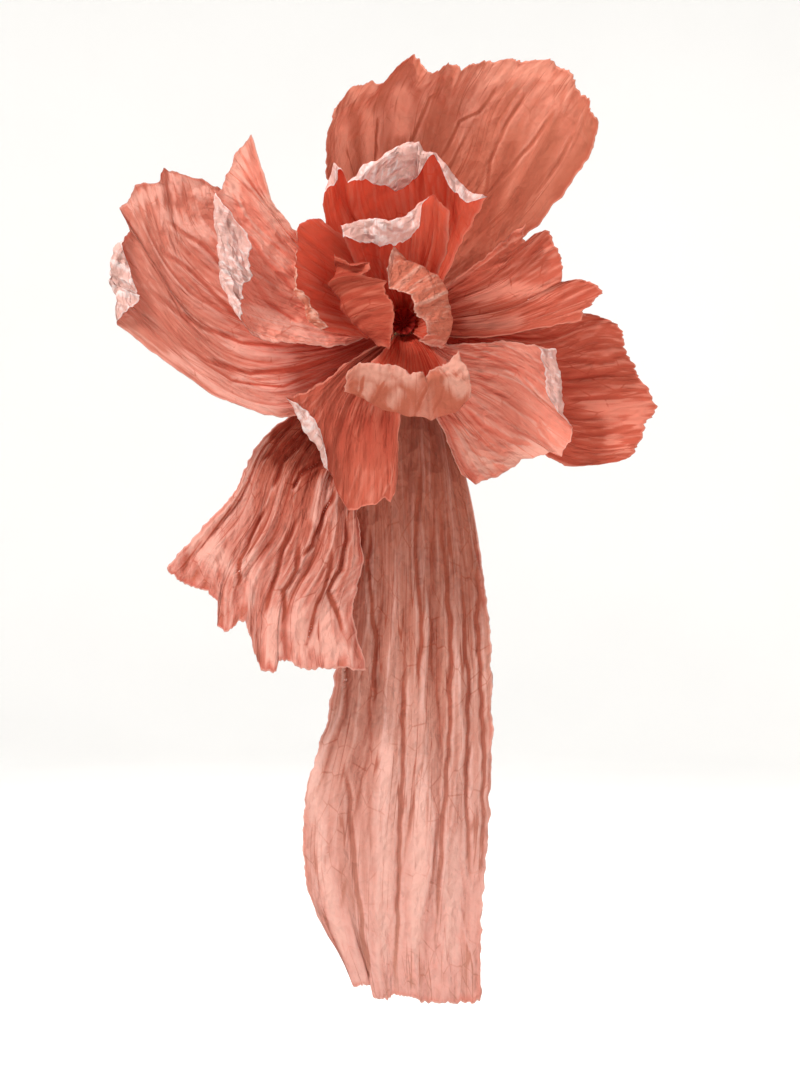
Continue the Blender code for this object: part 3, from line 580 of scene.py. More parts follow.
PAPERS = {
    Tone.CORAL: PaperFinish(
        body=dye(224, 138, 116), pool_and_shade=dye(202, 94, 72), wear_and_highlight=dye(244, 182, 164), rim=dye(220, 112, 88),
        heart=dye(222, 74, 50), tip=dye(222, 140, 118), crumple=3.6,
    ),
    # A lighter copy of coral: painted light for petals that lie in shade.
    Tone.PEACH: PaperFinish(
        body=dye(252, 161, 136), pool_and_shade=dye(232, 112, 88), wear_and_highlight=dye(255, 196, 176), rim=dye(240, 134, 112),
        heart=dye(236, 92, 66), tip=dye(248, 160, 137), band=0.8, streak=0.16, crumple=5.2,
        grit=(40.0, 26.0),
    ),
    # A deeper copy of coral: painted shade for the petals on the right and below, where the light falls
    # off.
    Tone.SALMON: PaperFinish(
        body=dye(212, 103, 78), pool_and_shade=dye(186, 64, 42), wear_and_highlight=dye(238, 150, 126), rim=dye(206, 96, 74),
        heart=dye(196, 50, 30), tip=dye(214, 107, 82), streak=0.2, crumple=3.6,
    ),
    # A darker copy of the reverse: painted shade on the back of the left inner petal.
    Tone.RUST: PaperFinish(
        body=dye(180, 65, 43), pool_and_shade=dye(156, 40, 24), wear_and_highlight=dye(214, 115, 90), rim=dye(214, 118, 94),
        heart=dye(174, 46, 28), tip=dye(192, 82, 58), pleat=4.0, crumple=2.4,
    ),
    # A tan copy: painted shade on the top back petal, which leans forward away from the light.
    Tone.CLAY: PaperFinish(
        body=dye(209, 124, 96), pool_and_shade=dye(184, 90, 64), wear_and_highlight=dye(241, 167, 142), rim=dye(206, 98, 72),
        heart=dye(196, 98, 72), tip=dye(218, 132, 106), band=0.3, cloud=1.0, streak=0.08, pleat=1.6,
        crinkle=0.7, crumple=3.4, grit=(34.0, 28.0), net=0.2,
    ),
    Tone.ROSE: PaperFinish(
        body=dye(212, 150, 130), pool_and_shade=dye(184, 98, 76), wear_and_highlight=dye(242, 196, 182), rim=dye(228, 138, 118),
        heart=dye(176, 92, 66), tip=dye(238, 182, 168), band=0.8, pleat=3.6, crumple=6.0,
        grit=(34.0, 24.0),
    ),
    # A darker copy: painted shade on the long lower left petal, in the shade of the head.
    Tone.DUSK: PaperFinish(
        body=dye(204, 110, 85), pool_and_shade=dye(168, 60, 38), wear_and_highlight=dye(245, 188, 171), rim=dye(212, 88, 68),
        heart=dye(150, 54, 32), tip=dye(231, 155, 137), band=0.8, crumple=6.0,
        grit=(40.0, 28.0),
    ),
    Tone.EMBER: PaperFinish(
        body=dye(250, 124, 90), pool_and_shade=dye(234, 84, 56), wear_and_highlight=dye(252, 162, 136), rim=dye(246, 156, 134),
        heart=dye(248, 78, 48), tip=dye(246, 124, 94), glow=0.5, deepen=1.3, pleat=4.0, crumple=2.2,
    ),
    Tone.BLUSH: PaperFinish(
        body=dye(242, 198, 184), pool_and_shade=dye(220, 138, 116), wear_and_highlight=dye(255, 238, 232), rim=dye(240, 172, 154),
        heart=dye(230, 130, 106), tip=dye(244, 200, 188), band=0.8, cloud=0.9, pleat=3.0, crumple=20.0,
        grit=(13.0, 24.0), fold=0.25,
    ),
    Tone.SHELL: PaperFinish(
        body=dye(222, 124, 96), pool_and_shade=dye(190, 76, 50), wear_and_highlight=dye(248, 195, 172), rim=dye(244, 184, 164),
        heart=dye(204, 70, 44), tip=dye(224, 129, 101), pleat=3.0, crinkle=1.4, crumple=8.0,
        grit=(46.0, 34.0),
    ),
    # A browner copy of the reverse: painted shade under the lower inner petal's lip.
    Tone.HUSK: PaperFinish(
        body=dye(194, 102, 75), pool_and_shade=dye(172, 74, 49), wear_and_highlight=dye(232, 172, 150), rim=dye(240, 186, 168),
        heart=dye(188, 80, 54), tip=dye(203, 114, 87), band=0.1, cloud=1.0, streak=0.05, line=0.12,
        fold=0.1, pleat=0.8, crinkle=0.5, crumple=7.0, grit=(26.0, 24.0),
    ),
    Tone.THROAT: PaperFinish(
        body=dye(196, 44, 28), pool_and_shade=dye(126, 16, 10), wear_and_highlight=dye(220, 84, 64), rim=dye(206, 60, 40),
        heart=dye(168, 26, 14), tip=dye(200, 50, 34), glow=0.3, fold=0.5, pleat=0.0,
    ),
}
PLYWOOD = WoodFinish(dye(214, 184, 140), dye(176, 138, 94), (9.0, 60.0, 90.0), plies=420.0)
BEECH = WoodFinish(dye(216, 178, 138), dye(184, 140, 98), (220.0, 12.0, 220.0))
ZINC = MetalFinish(dye(206, 208, 210), dye(150, 152, 154), 0.28)
IRON_WIRE = MetalFinish(dye(112, 110, 108), dye(66, 62, 60), 0.42)


def new_object(
    name: str, points: Grid, faces: Grid, materials: tuple[bpy.types.Material, ...]
) -> bpy.types.Object:
    """Makes a smooth mesh object in the scene.

    Args:
        name: The piece's name.
        points: World points, one row each.
        faces: Corners of each face, all with the same number of them.
        materials: The mesh's materials, in order.

    Returns:
        The new object.
    """
    mesh = bpy.data.meshes.new(name)
    count, sides = faces.shape
    mesh.vertices.add(len(points))
    mesh.vertices.foreach_set("co", points.astype(np.float32).ravel())
    mesh.loops.add(count * sides)
    mesh.loops.foreach_set("vertex_index", faces.astype(np.int32).ravel())
    mesh.polygons.add(count)
    mesh.polygons.foreach_set("loop_start", np.arange(0, count * sides, sides, dtype=np.int32))
    mesh.update(calc_edges=True)
    mesh.validate()
    mesh.shade_smooth()
    for material in materials:
        mesh.materials.append(material)
    made = bpy.data.objects.new(name, mesh)
    bpy.context.scene.collection.objects.link(made)
    return made


def store(made: bpy.types.Object, name: str, values: Grid) -> None:
    """Stores one number for each point of a mesh."""
    stored = made.data.attributes.new(name, "FLOAT", "POINT")
    stored.data.foreach_set("value", values.astype(np.float32).ravel())


def lay_flat(made: bpy.types.Object, name: str, flat: Grid) -> None:
    """Stores where each point of a mesh lies on the flat sheet.

    Args:
        made: The mesh object.
        name: Name of the UV map that holds the places.
        flat: Place of each point across and along the sheet, in metres.
    """
    corner = np.empty(len(made.data.loops), np.int32)
    made.data.loops.foreach_get("vertex_index", corner)
    places = made.data.uv_layers.new(name=name)
    places.data.foreach_set("uv", flat[corner].astype(np.float32).ravel())


def grid_faces(rows: int, columns: int, ring: bool = False, start: int = 0) -> Grid:
    """The faces of a grid of points, row after row.

    Args:
        rows: Number of rows.
        columns: Points in a row.
        ring: Whether each row closes on itself.
        start: Number of the grid's first point.

    Returns:
        Four corners for each face.
    """
    here = np.arange(rows - 1)[:, None] * columns
    last = columns if ring else columns - 1
    j = np.arange(last)
    k = (j + 1) % columns
    corners = [here + j, here + k, here + columns + k, here + columns + j]
    return start + np.stack(corners, -1).reshape(-1, 4)


def tube(path: Grid, radius: float, sides: int) -> tuple[Grid, Grid]:
    """A round wire along a path, closed at both ends by a point.

    Args:
        path: World points along the wire's middle.
        radius: Half the wire's thickness.
        sides: Number of sides around it.

    Returns:
        Its points, and its faces with four corners each.
    """
    along = unit(np.gradient(path, axis=0))
    first = unit(np.cross(along, [0.0, 1.0, 0.02]))
    second = np.cross(along, first)
    turn = np.linspace(0, 2 * math.pi, sides, endpoint=False)
    thick = np.full(len(path), radius)
    thick[0] = thick[-1] = radius * 0.2
    around = np.cos(turn)[:, None] * first[:, None] + np.sin(turn)[:, None] * second[:, None]
    points = (path[:, None] + thick[:, None, None] * around).reshape(-1, 3)
    return points, grid_faces(len(path), sides, ring=True)


@dataclass(frozen=True)
class Core:
    """The wooden core on its wall plate, and where the rings of gathered necks lie around it."""

    radius: float = 0.012
    length: float = 0.175
    plate: float = 0.012
    fit: float = 0.0004
    gather: float = 0.0025
    paper: float = 0.0008
    wire: float = 0.002
    neck_tail: float = 0.028
    tie_forward: float = 0.034
    tie_width: float = 0.009
    nodes: tuple[str, ...] = ("wall_plate", "core_rod", "core_screw_left", "core_screw_right")

    def neck_radius(self, ring: int) -> float:
        """Middle radius of a ring's gathered necks."""
        layer = 2 * (self.fit + self.gather) + self.paper + self.wire
        return self.radius + ring * layer + self.fit + self.gather + self.paper / 2

    def front(self) -> float:
        """How far forward the core's front end is."""
        return self.plate + self.fit + self.length

    def around(self, radius: float, bearings: Grid, forward: float) -> Grid:
        """Points around the core.

        Args:
            radius: Distance from its middle.
            bearings: Bearings in degrees, from the right and counter-clockwise.
            forward: How far forward they are.

        Returns:
            Points (x, z, forward), one for each bearing.
        """
        angle = np.radians(bearings)
        lift = np.full_like(angle, forward)
        return np.stack([radius * np.cos(angle), radius * np.sin(angle), lift], -1)

    def dress(self) -> None:
        """Gives the plate, the core and its screws their finishes."""
        finishes = (PLYWOOD, BEECH, ZINC, ZINC)
        for node, finish in zip(self.nodes, finishes, strict=True):
            solid = frame["nodes"][node]
            made = finish.dress(node + "_finish")
            for slot in solid.material_slots:
                slot.material = made
            LOG.info("dressed %s", node)


@dataclass(frozen=True)
class Tie:
    """Some turns of soft wire that bind one ring of necks."""

    ring: int
    node: str
    turns: int = 5
    steps: int = 40
    sides: int = 8
    tail: float = 0.007

    def path(self, core: Core) -> Grid:
        """The way of the wire round the necks.

        Args:
            core: The core that it goes around.

        Returns:
            World points along the wire's middle.
        """
        radius = core.neck_radius(self.ring) + core.gather + core.paper / 2 + core.fit + core.wire / 2
        bearings = np.linspace(0, 360 * self.turns, self.turns * self.steps + 1)
        rise = np.linspace(core.wire / 2, core.tie_width - core.wire / 2, len(bearings))
        points = core.around(radius, bearings, core.tie_forward)
        points[:, 2] += rise
        return world(points)

    def build(self, core: Core, finish: bpy.types.Material) -> bpy.types.Object:
        """Makes the wire and puts it in its band's place.

        Args:
            core: The core that it goes around.
            finish: The wire's material.

        Returns:
            The finished piece.
        """
        points, faces = tube(self.path(core), core.wire * 0.46, self.sides)
        wire = new_object(self.node + "_wire", points, faces, (finish,))
        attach(wire, "root")
        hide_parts(self.node)
        LOG.info("wound %s: %d turns", wire.name, self.turns)
        return wire


TIES = (Tie(0, "heart_tie"), Tie(1, "cup_tie"), Tie(2, "middle_tie"), Tie(3, "back_tie"))


@dataclass(frozen=True)
class Folding:
    """How one petal's paper is folded, creased and torn. Depths and lengths are in metres.

    folds counts the lines of the long folds across the sheet, each at most of the depth that neck, body and
    rim give on its way out, and wander is how far they drift sideways, in folds. gathers counts the fine
    folds between them, which have the depth gather near the neck and fade outwards. creases counts the
    short creases and crumple is the depth of the dents between them. ruffle waves the rim, and rag is how
    far the torn rim and the sides wander from their line. grooves are creases along known lines of points
    (x, z), groove in depth and groove_width wide on either side, with painted shade along their middle.
    Along the lines of painted light the paper is painted lighter as a highlight, and along the lines of
    painted shade it is painted darker as shade. flap is the depth of the crumples in the paper that is
    rolled over at the rim.
    """

    folds: int = 15
    neck: float = 0.0015
    body: float = 0.0045
    rim: float = 0.004
    wander: float = 0.7
    gathers: int = 46
    gather: float = 0.0014
    creases: int = 40
    crease: float = 0.0022
    slant: float = 0.16
    crumple: float = 0.0006
    ruffle: float = 0.004
    ruffles: float = 9.0
    rag: float = 0.0036
    grooves: tuple[Line, ...] = ()
    groove: float = 0.004
    groove_width: float = 0.008
    pale: tuple[Line, ...] = ()
    painted_shade: tuple[Line, ...] = ()
    flap: float = 0.0022


# The outer share of a sheet that bends over to its rim line.
RIM_REACH = 0.45
# How tightly the paper beyond a rim turns over, and the least that it sticks out.
FOLD_RADIUS = 0.011
SHORTEST_LIP = 0.005
# Size of a cell of the finished mesh across a sheet, and how many times longer it is along it.
CELL = 0.0033
CELL_STRETCH = 1.4
# Distance from tear to tear, and the share of their depth that is left at a folded rim.
RAG_LENGTH = 0.021
FOLDED_RAG = 0.35
# Half the width of a line of painted highlight or painted shade.
PAINTED_LINE_WIDTH = 0.024
# Distances on the flat sheet that keep the markings of two rings, and of a sheet's two sides, from
# repeating.
RING_APART = 3.1
SIDES_APART = 5.0


@dataclass(frozen=True)
class Petal:
    """One sheet of paper, tied by its neck to a ring around the core.

    ring counts from the innermost, seat is the bearing of the neck and seat_arc how much of the ring
    it takes, and flare is how far forward the neck leaves the core. Each row runs clockwise across
    the sheet as points (x, z, forward), from nearest the neck outwards, and rim is its torn edge as
    points (x, z). lip is the paper beyond the rim, at even places across, and roll how far it is
    folded over forwards, in degrees. cut is the width and length of the sheet that it was cut from; it is
    not used.
    """

    name: str
    ring: int
    seat: float
    seat_arc: float
    flare: float
    cut: tuple[float, float]
    area: float
    rows: tuple[tuple[Point, ...], ...]
    rim: tuple[tuple[float, float], ...]
    lip: tuple[float, ...] = ()
    roll: tuple[float, ...] = (0.0,)
    front: Tone = Tone.CORAL
    reverse: Tone = Tone.BLUSH
    slot: str = "paper_coral"
    folding: Folding = field(default_factory=Folding)

    def net(self, core: Core) -> Grid:
        """The sheet's guiding points.

        Args:
            core: The core that carries the sheet.

        Returns:
            Rows of points (x, z, forward): two on the core, then the petal's own.
        """
        own = np.array(self.rows, float)
        half = self.seat_arc / 2
        bearings = np.linspace(self.seat + half, self.seat - half, own.shape[1])
        radius = core.neck_radius(self.ring)
        tail = core.around(radius, bearings, core.neck_tail)
        neck = core.around(radius, bearings, self.flare)
        return np.concatenate([[tail, neck], own])

    def grain(self, number: int) -> Grain:
        """One of the sheet's own noises."""
        return Grain(int(self.seat * 7 + self.ring * 1000 + number * 101) % 65521)

    def places(self, core: Core, cell: float) -> tuple[Grid, Grid, Grid, Grid]:
        """Where the finished grid's columns and rows lie.

        Args:
            core: The core that carries the sheet.
            cell: Size of a grid cell out on the petal.

        Returns:
            Shares across and along the sheet, and the knots of the net's columns and rows.
        """
        net = self.net(core)
        columns = shares_of(np.linalg.norm(np.diff(net[2:], axis=1), axis=2).mean(axis=0))
        spans = np.linalg.norm(np.diff(net, axis=0), axis=2).mean(axis=1)
        rows = shares_of(spans)
        width = np.linalg.norm(np.diff(net, axis=1), axis=2).sum(axis=1).max()
        across = np.linspace(0, 1, int(width * 1.06 / cell) + 2)
        along = [np.linspace(0, rows[1], max(4, int(spans[0] / 0.008)))[:-1]]
        along.append(np.linspace(rows[1], 1, int(spans[1:].sum() / cell / CELL_STRETCH) + 2))
        return across, np.concatenate(along), columns, rows

    def smooth_sheet(self, core: Core, cell: float) -> dict[str, Grid]:
        """The unfolded sheet over its guiding points, ending on its torn rim.

        Args:
            core: The core that carries the sheet.
            cell: Size of a grid cell.

        Returns:
            Its points, forward normals and outward directions, the shares across and along, and the
            places on the flat sheet in metres.
        """
        across, along, columns, rows = self.places(core, cell)
        ribs = smooth_through(rows, self.net(core), along)
        plain = smooth_through(columns, ribs.swapaxes(0, 1), across).swapaxes(0, 1)
        outward = unit(np.gradient(plain, axis=0))
        normals = unit(np.cross(np.gradient(plain, axis=1), outward))
        neck = np.searchsorted(along, rows[1])
        on_core = plain[:neck]
        radial = unit(on_core * [1, 1, 0])
        blend = ease(rows[1], rows[1] + (rows[2] - rows[1]) * 0.7, along)[:, None, None]
        normals[:neck] = radial
        normals = unit(normals * blend + unit(plain * [1, 1, 0]) * (1 - blend))
        edge = np.array(self.rim, float)
        marks = shares_of(np.linalg.norm(np.diff(edge, axis=0), axis=1))
        shift = np.zeros_like(plain[-1])
        for axis in range(2):
            shift[:, axis] = np.interp(across, marks, edge[:, axis]) - plain[-1][:, axis]
        reach = ease(1 - RIM_REACH, 1, along)
        points = plain + reach[:, None, None] * shift
        steps = np.linalg.norm(np.diff(points, axis=0), axis=2).mean(axis=1)
        v = np.concatenate([[0.0], np.cumsum(steps)])[:, None] * np.ones(len(across))
        spread = np.linalg.norm(np.diff(points, axis=1), axis=2)
        u = np.concatenate([np.zeros((len(along), 1)), np.cumsum(spread, axis=1)], axis=1)
        flat_u = (across - 0.5)[None, :] * u[:, -1].max()
        u = u - u[:, -1:] / 2
        wide = {"u": u, "flat_u": flat_u + 0 * u, "v": v, "s": across + 0 * u, "t": along[:, None] + 0 * u}
        return wide | {"points": points, "normals": normals, "outward": outward, "seat": rows[1]}

    def add_lip(self, sheet: dict[str, Grid], cell: float) -> dict[str, Grid]:
        """The sheet with the paper beyond its rim, folded over forwards about the rim line.

        Args:
            sheet: The sheet as smooth_sheet gives it.
            cell: Size of a grid cell.

        Returns:
            The same entries with the lip's rows after the others, and how far each place is past the rim.
        """
        over = np.zeros(sheet["u"].shape)
        if not self.lip:
            return sheet | {"over": over}
        across = sheet["s"][-1]
        even = np.linspace(0, 1, len(self.lip))
        length = np.maximum(smooth_through(even, np.array(self.lip, float), across), SHORTEST_LIP)
        length = length + self.folding.rag * 1.6 * self.grain(40).at(across * 11, 0.5)
        length = length + self.folding.rag * 1.1 * self.grain(41).at(across * 37, 0.5)
        length = np.maximum(length, SHORTEST_LIP * 0.8)
        roll = np.radians(smooth_through(even, np.array(self.roll, float), across))
        roll = roll * (1 + 0.07 * self.grain(42).at(across * 6, 0.5))
        rim, front, ahead = (sheet[k][-1] for k in ("points", "normals", "outward"))
        rows = int(max(self.lip) / cell) + 3
        grown = {key: [value] for key, value in sheet.items() if key != "seat"}
        passed = [over]
        for share in np.linspace(0, 1, rows)[1:]:
            run = length * share
            turn = np.minimum(run / FOLD_RADIUS, roll)[:, None]
            beyond = run[:, None] - turn * FOLD_RADIUS
            curl = FOLD_RADIUS * (np.sin(turn) * ahead + (1 - np.cos(turn)) * front)
            onward = np.cos(turn) * ahead + np.sin(turn) * front
            grown["points"].append((rim + curl + beyond * onward)[None])
            grown["normals"].append((np.cos(turn) * front - np.sin(turn) * ahead)[None])
            grown["outward"].append(onward[None])
            for key in ("u", "flat_u", "s", "t"):
                grown[key].append(sheet[key][-1:])
            grown["v"].append(sheet["v"][-1:] + run)
            passed.append(run[None])
        joined = {key: np.concatenate(value) for key, value in grown.items()}
        return joined | {"over": np.concatenate(passed), "seat": sheet["seat"]}

    def fold_lines(self, sheet: dict[str, Grid], count: int, number: int) -> Grid:
        """One set of long folds: flat bands between sharp lines that wander on their way out.

        Args:
            sheet: The smooth sheet.
            count: Number of lines across it.
            number: Which of the sheet's own noises moves the lines.

        Returns:
            Their heights, from -1 to 1.
        """
        dice = np.random.default_rng(int(self.seat * 11 + self.ring * 29 + number) % 9973)
        line = np.arange(count + 2)
        middle = np.cumsum(dice.uniform(0.35, 1.65, count + 2))
        middle = (middle - middle[0]) / (middle[-1] - middle[0]) * 1.06 - 0.03
        side = np.where(line % 2, 1.0, -1.0) * dice.uniform(0.3, 1.0, count + 2)
        v = sheet["v"][:, :1] if not self.lip else sheet["v"].mean(axis=1, keepdims=True)
        drift = self.grain(number).at(line[None] * 0.37, v / 0.3)
        drift = drift + 0.22 * self.grain(number + 1).at(line[None] * 5.3, v / 0.08)
        lines = np.sort(middle + drift * self.folding.wander / count, axis=1)
        strength = np.clip(0.5 + 1.2 * self.grain(number + 2).at(line[None] * 3.7, v / 0.19), 0, 1)
        size = side * (0.25 + 0.75 * strength)
        rows = zip(sheet["s"], lines, size, strict=True)
        return np.stack([np.interp(s, at, value) for s, at, value in rows])

    def creases(self, sheet: dict[str, Grid]) -> Grid:
        """The short creases, each a tent or a groove along its own line.

        Args:
            sheet: The smooth sheet.

        Returns:
            Their heights in metres.
        """
        folding = self.folding
        dice = np.random.default_rng(int(self.seat * 3 + self.ring * 17) % 9973)
        u, v = sheet["u"], sheet["v"]
        wide, tall = np.abs(u).max(), v.max()
        total = np.zeros(u.shape)
        for _ in range(folding.creases):
            share, height = dice.uniform(-0.95, 0.95), dice.uniform(0.12, 1.0) * tall
            row = np.argmin(np.abs(v[:, 0] - height))
            middle = share * np.abs(u[row]).max()
            lean = dice.normal(0, folding.slant) - share * wide / tall * 0.6
            length, reach = dice.uniform(0.03, 0.2), dice.uniform(0.005, 0.016)
            away = (u - middle) * math.cos(lean) + (v - height) * math.sin(lean)
            on = (v - height) * math.cos(lean) - (u - middle) * math.sin(lean)
            tent = np.maximum(0, 1 - np.abs(away) / reach) * np.maximum(0, 1 - (on / length) ** 2)
            total += dice.choice((-1.0, 1.0)) * dice.uniform(0.4, 1.0) * folding.crease * tent
        return total

    def along_lines(self, sheet: dict[str, Grid], lines: tuple[Line, ...], width: float) -> Grid:
        """How near each place is to the nearest of some lines.

        Args:
            sheet: The smooth sheet.
            lines: Lines of points (x, z), seen from the front.
            width: Distance at which the nearness ends.

        Returns:
            Numbers from 0 to 1, which fade towards the ends of a line.
        """
        x, z = sheet["points"][..., 0], sheet["points"][..., 1]
        x = x + 0.004 * self.grain(50).at(x / 0.05, z / 0.05)
        total = np.zeros(x.shape)
        for line in lines:
            near, run = np.full(x.shape, 1.0), np.zeros(x.shape)
            steps = shares_of(np.linalg.norm(np.diff(np.array(line), axis=0), axis=1))
            for (ax, az), (bx, bz), low, high in zip(line, line[1:], steps, steps[1:], strict=False):
                dx, dz = bx - ax, bz - az
                on = np.clip(((x - ax) * dx + (z - az) * dz) / (dx * dx + dz * dz), 0, 1)
                away = np.hypot(x - ax - on * dx, z - az - on * dz)
                run = np.where(away < near, low + on * (high - low), run)
                near = np.minimum(near, away)
            fade = ease(0, 0.25, run) * ease(1, 0.8, run)
            total = np.maximum(total, np.maximum(0, 1 - near / width) * fade)
        return total

    def heights(self, sheet: dict[str, Grid]) -> Grid:
        """How far the folded paper stands in front of the smooth sheet.

        Args:
            sheet: The smooth sheet.

        Returns:
            Heights in metres.
        """
        folding, u, v, t = self.folding, sheet["u"], sheet["v"], sheet["t"]
        out = (t - sheet["seat"]) / (1 - sheet["seat"])
        depths = (0.0015, folding.neck, folding.body, folding.body, folding.rim)
        depth = np.interp(out, (-1, 0, 0.2, 0.55, 1), depths)
        fines = (0.0008, 0.0009, folding.gather, folding.gather * 0.6, 0.0004)
        fine = np.interp(out, (-1, 0, 0.15, 0.5, 1), fines)
        free = ease(0.0, 0.3, out)
        dents = self.grain(20).at(u / 0.034, v / 0.12) + 0.5 * self.grain(21).ridges(u / 0.02, v / 0.07)
        waves = self.grain(22).at(sheet["s"] * folding.ruffles, v / 0.09)
        waves = waves + 0.4 * self.grain(23).at(sheet["s"] * folding.ruffles * 2.9, v / 0.04)
        total = depth * self.fold_lines(sheet, folding.folds, 1)
        total = total + fine * self.fold_lines(sheet, folding.gathers, 5)
        total = total + free * (self.creases(sheet) + folding.crumple * dents)
        grooves = self.along_lines(sheet, folding.grooves, folding.groove_width)
        total = total - free * folding.groove * grooves
        flap = self.grain(24).ridges(u / 0.034, v / 0.028)
        flap = flap + 0.3 * self.grain(25).ridges(u / 0.014, v / 0.018)
        total = total + folding.flap * flap * ease(0.0, 0.02, sheet["over"])
        return total + folding.ruffle * waves * np.clip(out, 0, 1) ** 4

    def torn(self, sheet: dict[str, Grid]) -> Grid:
        """How far each place moves in the sheet, so that its rim and sides end ragged.

        Args:
            sheet: The smooth sheet.

        Returns:
            A move for each place, in metres.
        """
        folding, s, v = self.folding, sheet["s"], sheet["v"]
        rim = np.abs(sheet["u"]).max() * 2
        tears = self.grain(30).at(s * rim / RAG_LENGTH, 0.5 + 0 * s)
        tears = tears + 0.6 * self.grain(31).ridges(s * rim / RAG_LENGTH * 2.7, 0.5 + 0 * s)
        rag = folding.rag * (FOLDED_RAG if self.lip else 1.0)
        outward = rag * tears * ease(0.9, 1.0, sheet["t"])
        rim_row = int((sheet["over"][:, 0] == 0).sum()) - 1
        ahead = sheet["outward"].copy()
        ahead[rim_row:] = ahead[rim_row]
        side = np.clip(np.abs(s - 0.5) * 2 - 0.9, 0, 0.1) / 0.1
        sway = self.grain(32).at(v / 0.03, np.sign(s - 0.5) * 4.3) + 0.5 * self.grain(33).at(
            v / 0.011, np.sign(s - 0.5) * 2.7
        )
        sway = sway * folding.rag * 1.2 * side * ease(0.25, 0.5, sheet["t"])
        sideways = unit(np.gradient(sheet["points"], axis=1))
        return outward[..., None] * ahead + sway[..., None] * sideways

    def build(self, core: Core, papers: dict[Tone, bpy.types.Material]) -> bpy.types.Object:
        """Makes the finished sheet and puts it in its place on the core.

        Args:
            core: The core that carries the sheet.
            papers: A material for each tone.

        Returns:
            The finished piece.
        """
        cell = CELL
        sheet = self.add_lip(self.smooth_sheet(core, cell), cell)
        height = self.heights(sheet)
        middle = sheet["points"] + self.torn(sheet) + height[..., None] * sheet["normals"]
        rows, columns = height.shape
        half = core.paper / 2 * sheet["normals"]
        points = np.concatenate([world(side).reshape(-1, 3) for side in (middle + half, middle - half)])
        faces = grid_faces(rows, columns)
        under = faces[:, ::-1] + rows * columns
        grid = np.arange(rows * columns).reshape(rows, columns)
        loop = np.concatenate([grid[0, :-1], grid[:-1, -1], grid[-1, :0:-1], grid[:0:-1, 0]])
        onward = np.roll(loop, -1)
        shift = rows * columns
        band = np.stack([onward, loop, loop + shift, onward + shift], -1)
        materials = (papers[self.front], papers[self.reverse])
        made = new_object(self.name + "_paper", points, np.concatenate([faces, under, band]), materials)
        sides = np.zeros(len(made.data.polygons), np.int32)
        sides[len(faces) : 2 * len(faces)] = 1
        made.data.polygons.foreach_set("material_index", sides)
        self.mark(made, sheet, height)
        self.declare(made)
        LOG.info("folded %s: %d faces", made.name, len(made.data.polygons))
        return made

    def mark(self, made: bpy.types.Object, sheet: dict[str, Grid], height: Grid) -> None:
        """Stores what the dye, the painted highlights and the painted shade follow on the mesh, and the
        places on the flat sheet.

        Args:
            made: The petal's mesh object.
            sheet: The smooth sheet.
            height: The heights of its folds.
        """
        # Crests and valleys of the folds, which the material paints lighter as highlight and darker as
        # shade.
        crest = np.clip((height - softened(height, 4)) / 0.0006, -1, 1)
        reach = np.clip(sheet["t"], 0, 1)
        aside = sheet["u"].max(axis=1, keepdims=True) - np.abs(sheet["u"])
        edge = np.minimum(aside, sheet["v"][-1:] - sheet["v"])
        folding = self.folding
        # Painted highlight along the petal's lines of painted light; painted shade along its lines of
        # painted shade and down the middle of each groove.
        pale = self.along_lines(sheet, folding.pale, PAINTED_LINE_WIDTH)
        pale = pale - self.along_lines(sheet, folding.painted_shade, PAINTED_LINE_WIDTH)
        pale = pale - 1.4 * self.along_lines(sheet, folding.grooves, folding.groove_width / 2)
        both_sides = {"reach": (reach, reach), "fold": (crest, -crest), "edge": (edge, edge)}
        both_sides["pale"] = (pale, pale)
        for name, (front, back) in both_sides.items():
            store(made, name, np.concatenate([front.ravel(), back.ravel()]))
        true_width = sheet["flat_u"] * 0.5 + sheet["u"] * 0.5 + self.ring * RING_APART
        even_width = sheet["flat_u"] + self.ring * RING_APART + self.seat / 37
        for name, width in (("Sheet", true_width), ("Fan", even_width)):
            flat = np.stack([width, sheet["v"]], -1).reshape(-1, 2)
            lay_flat(made, name, np.concatenate([flat, flat + [0.0, SIDES_APART]]))

    def declare(self, made: bpy.types.Object) -> None:
        """Hangs the piece on the root and hides the plain part that it stands for.

        Args:
            made: The petal's mesh object.
        """
        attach(made, "root")
        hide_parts(self.name)
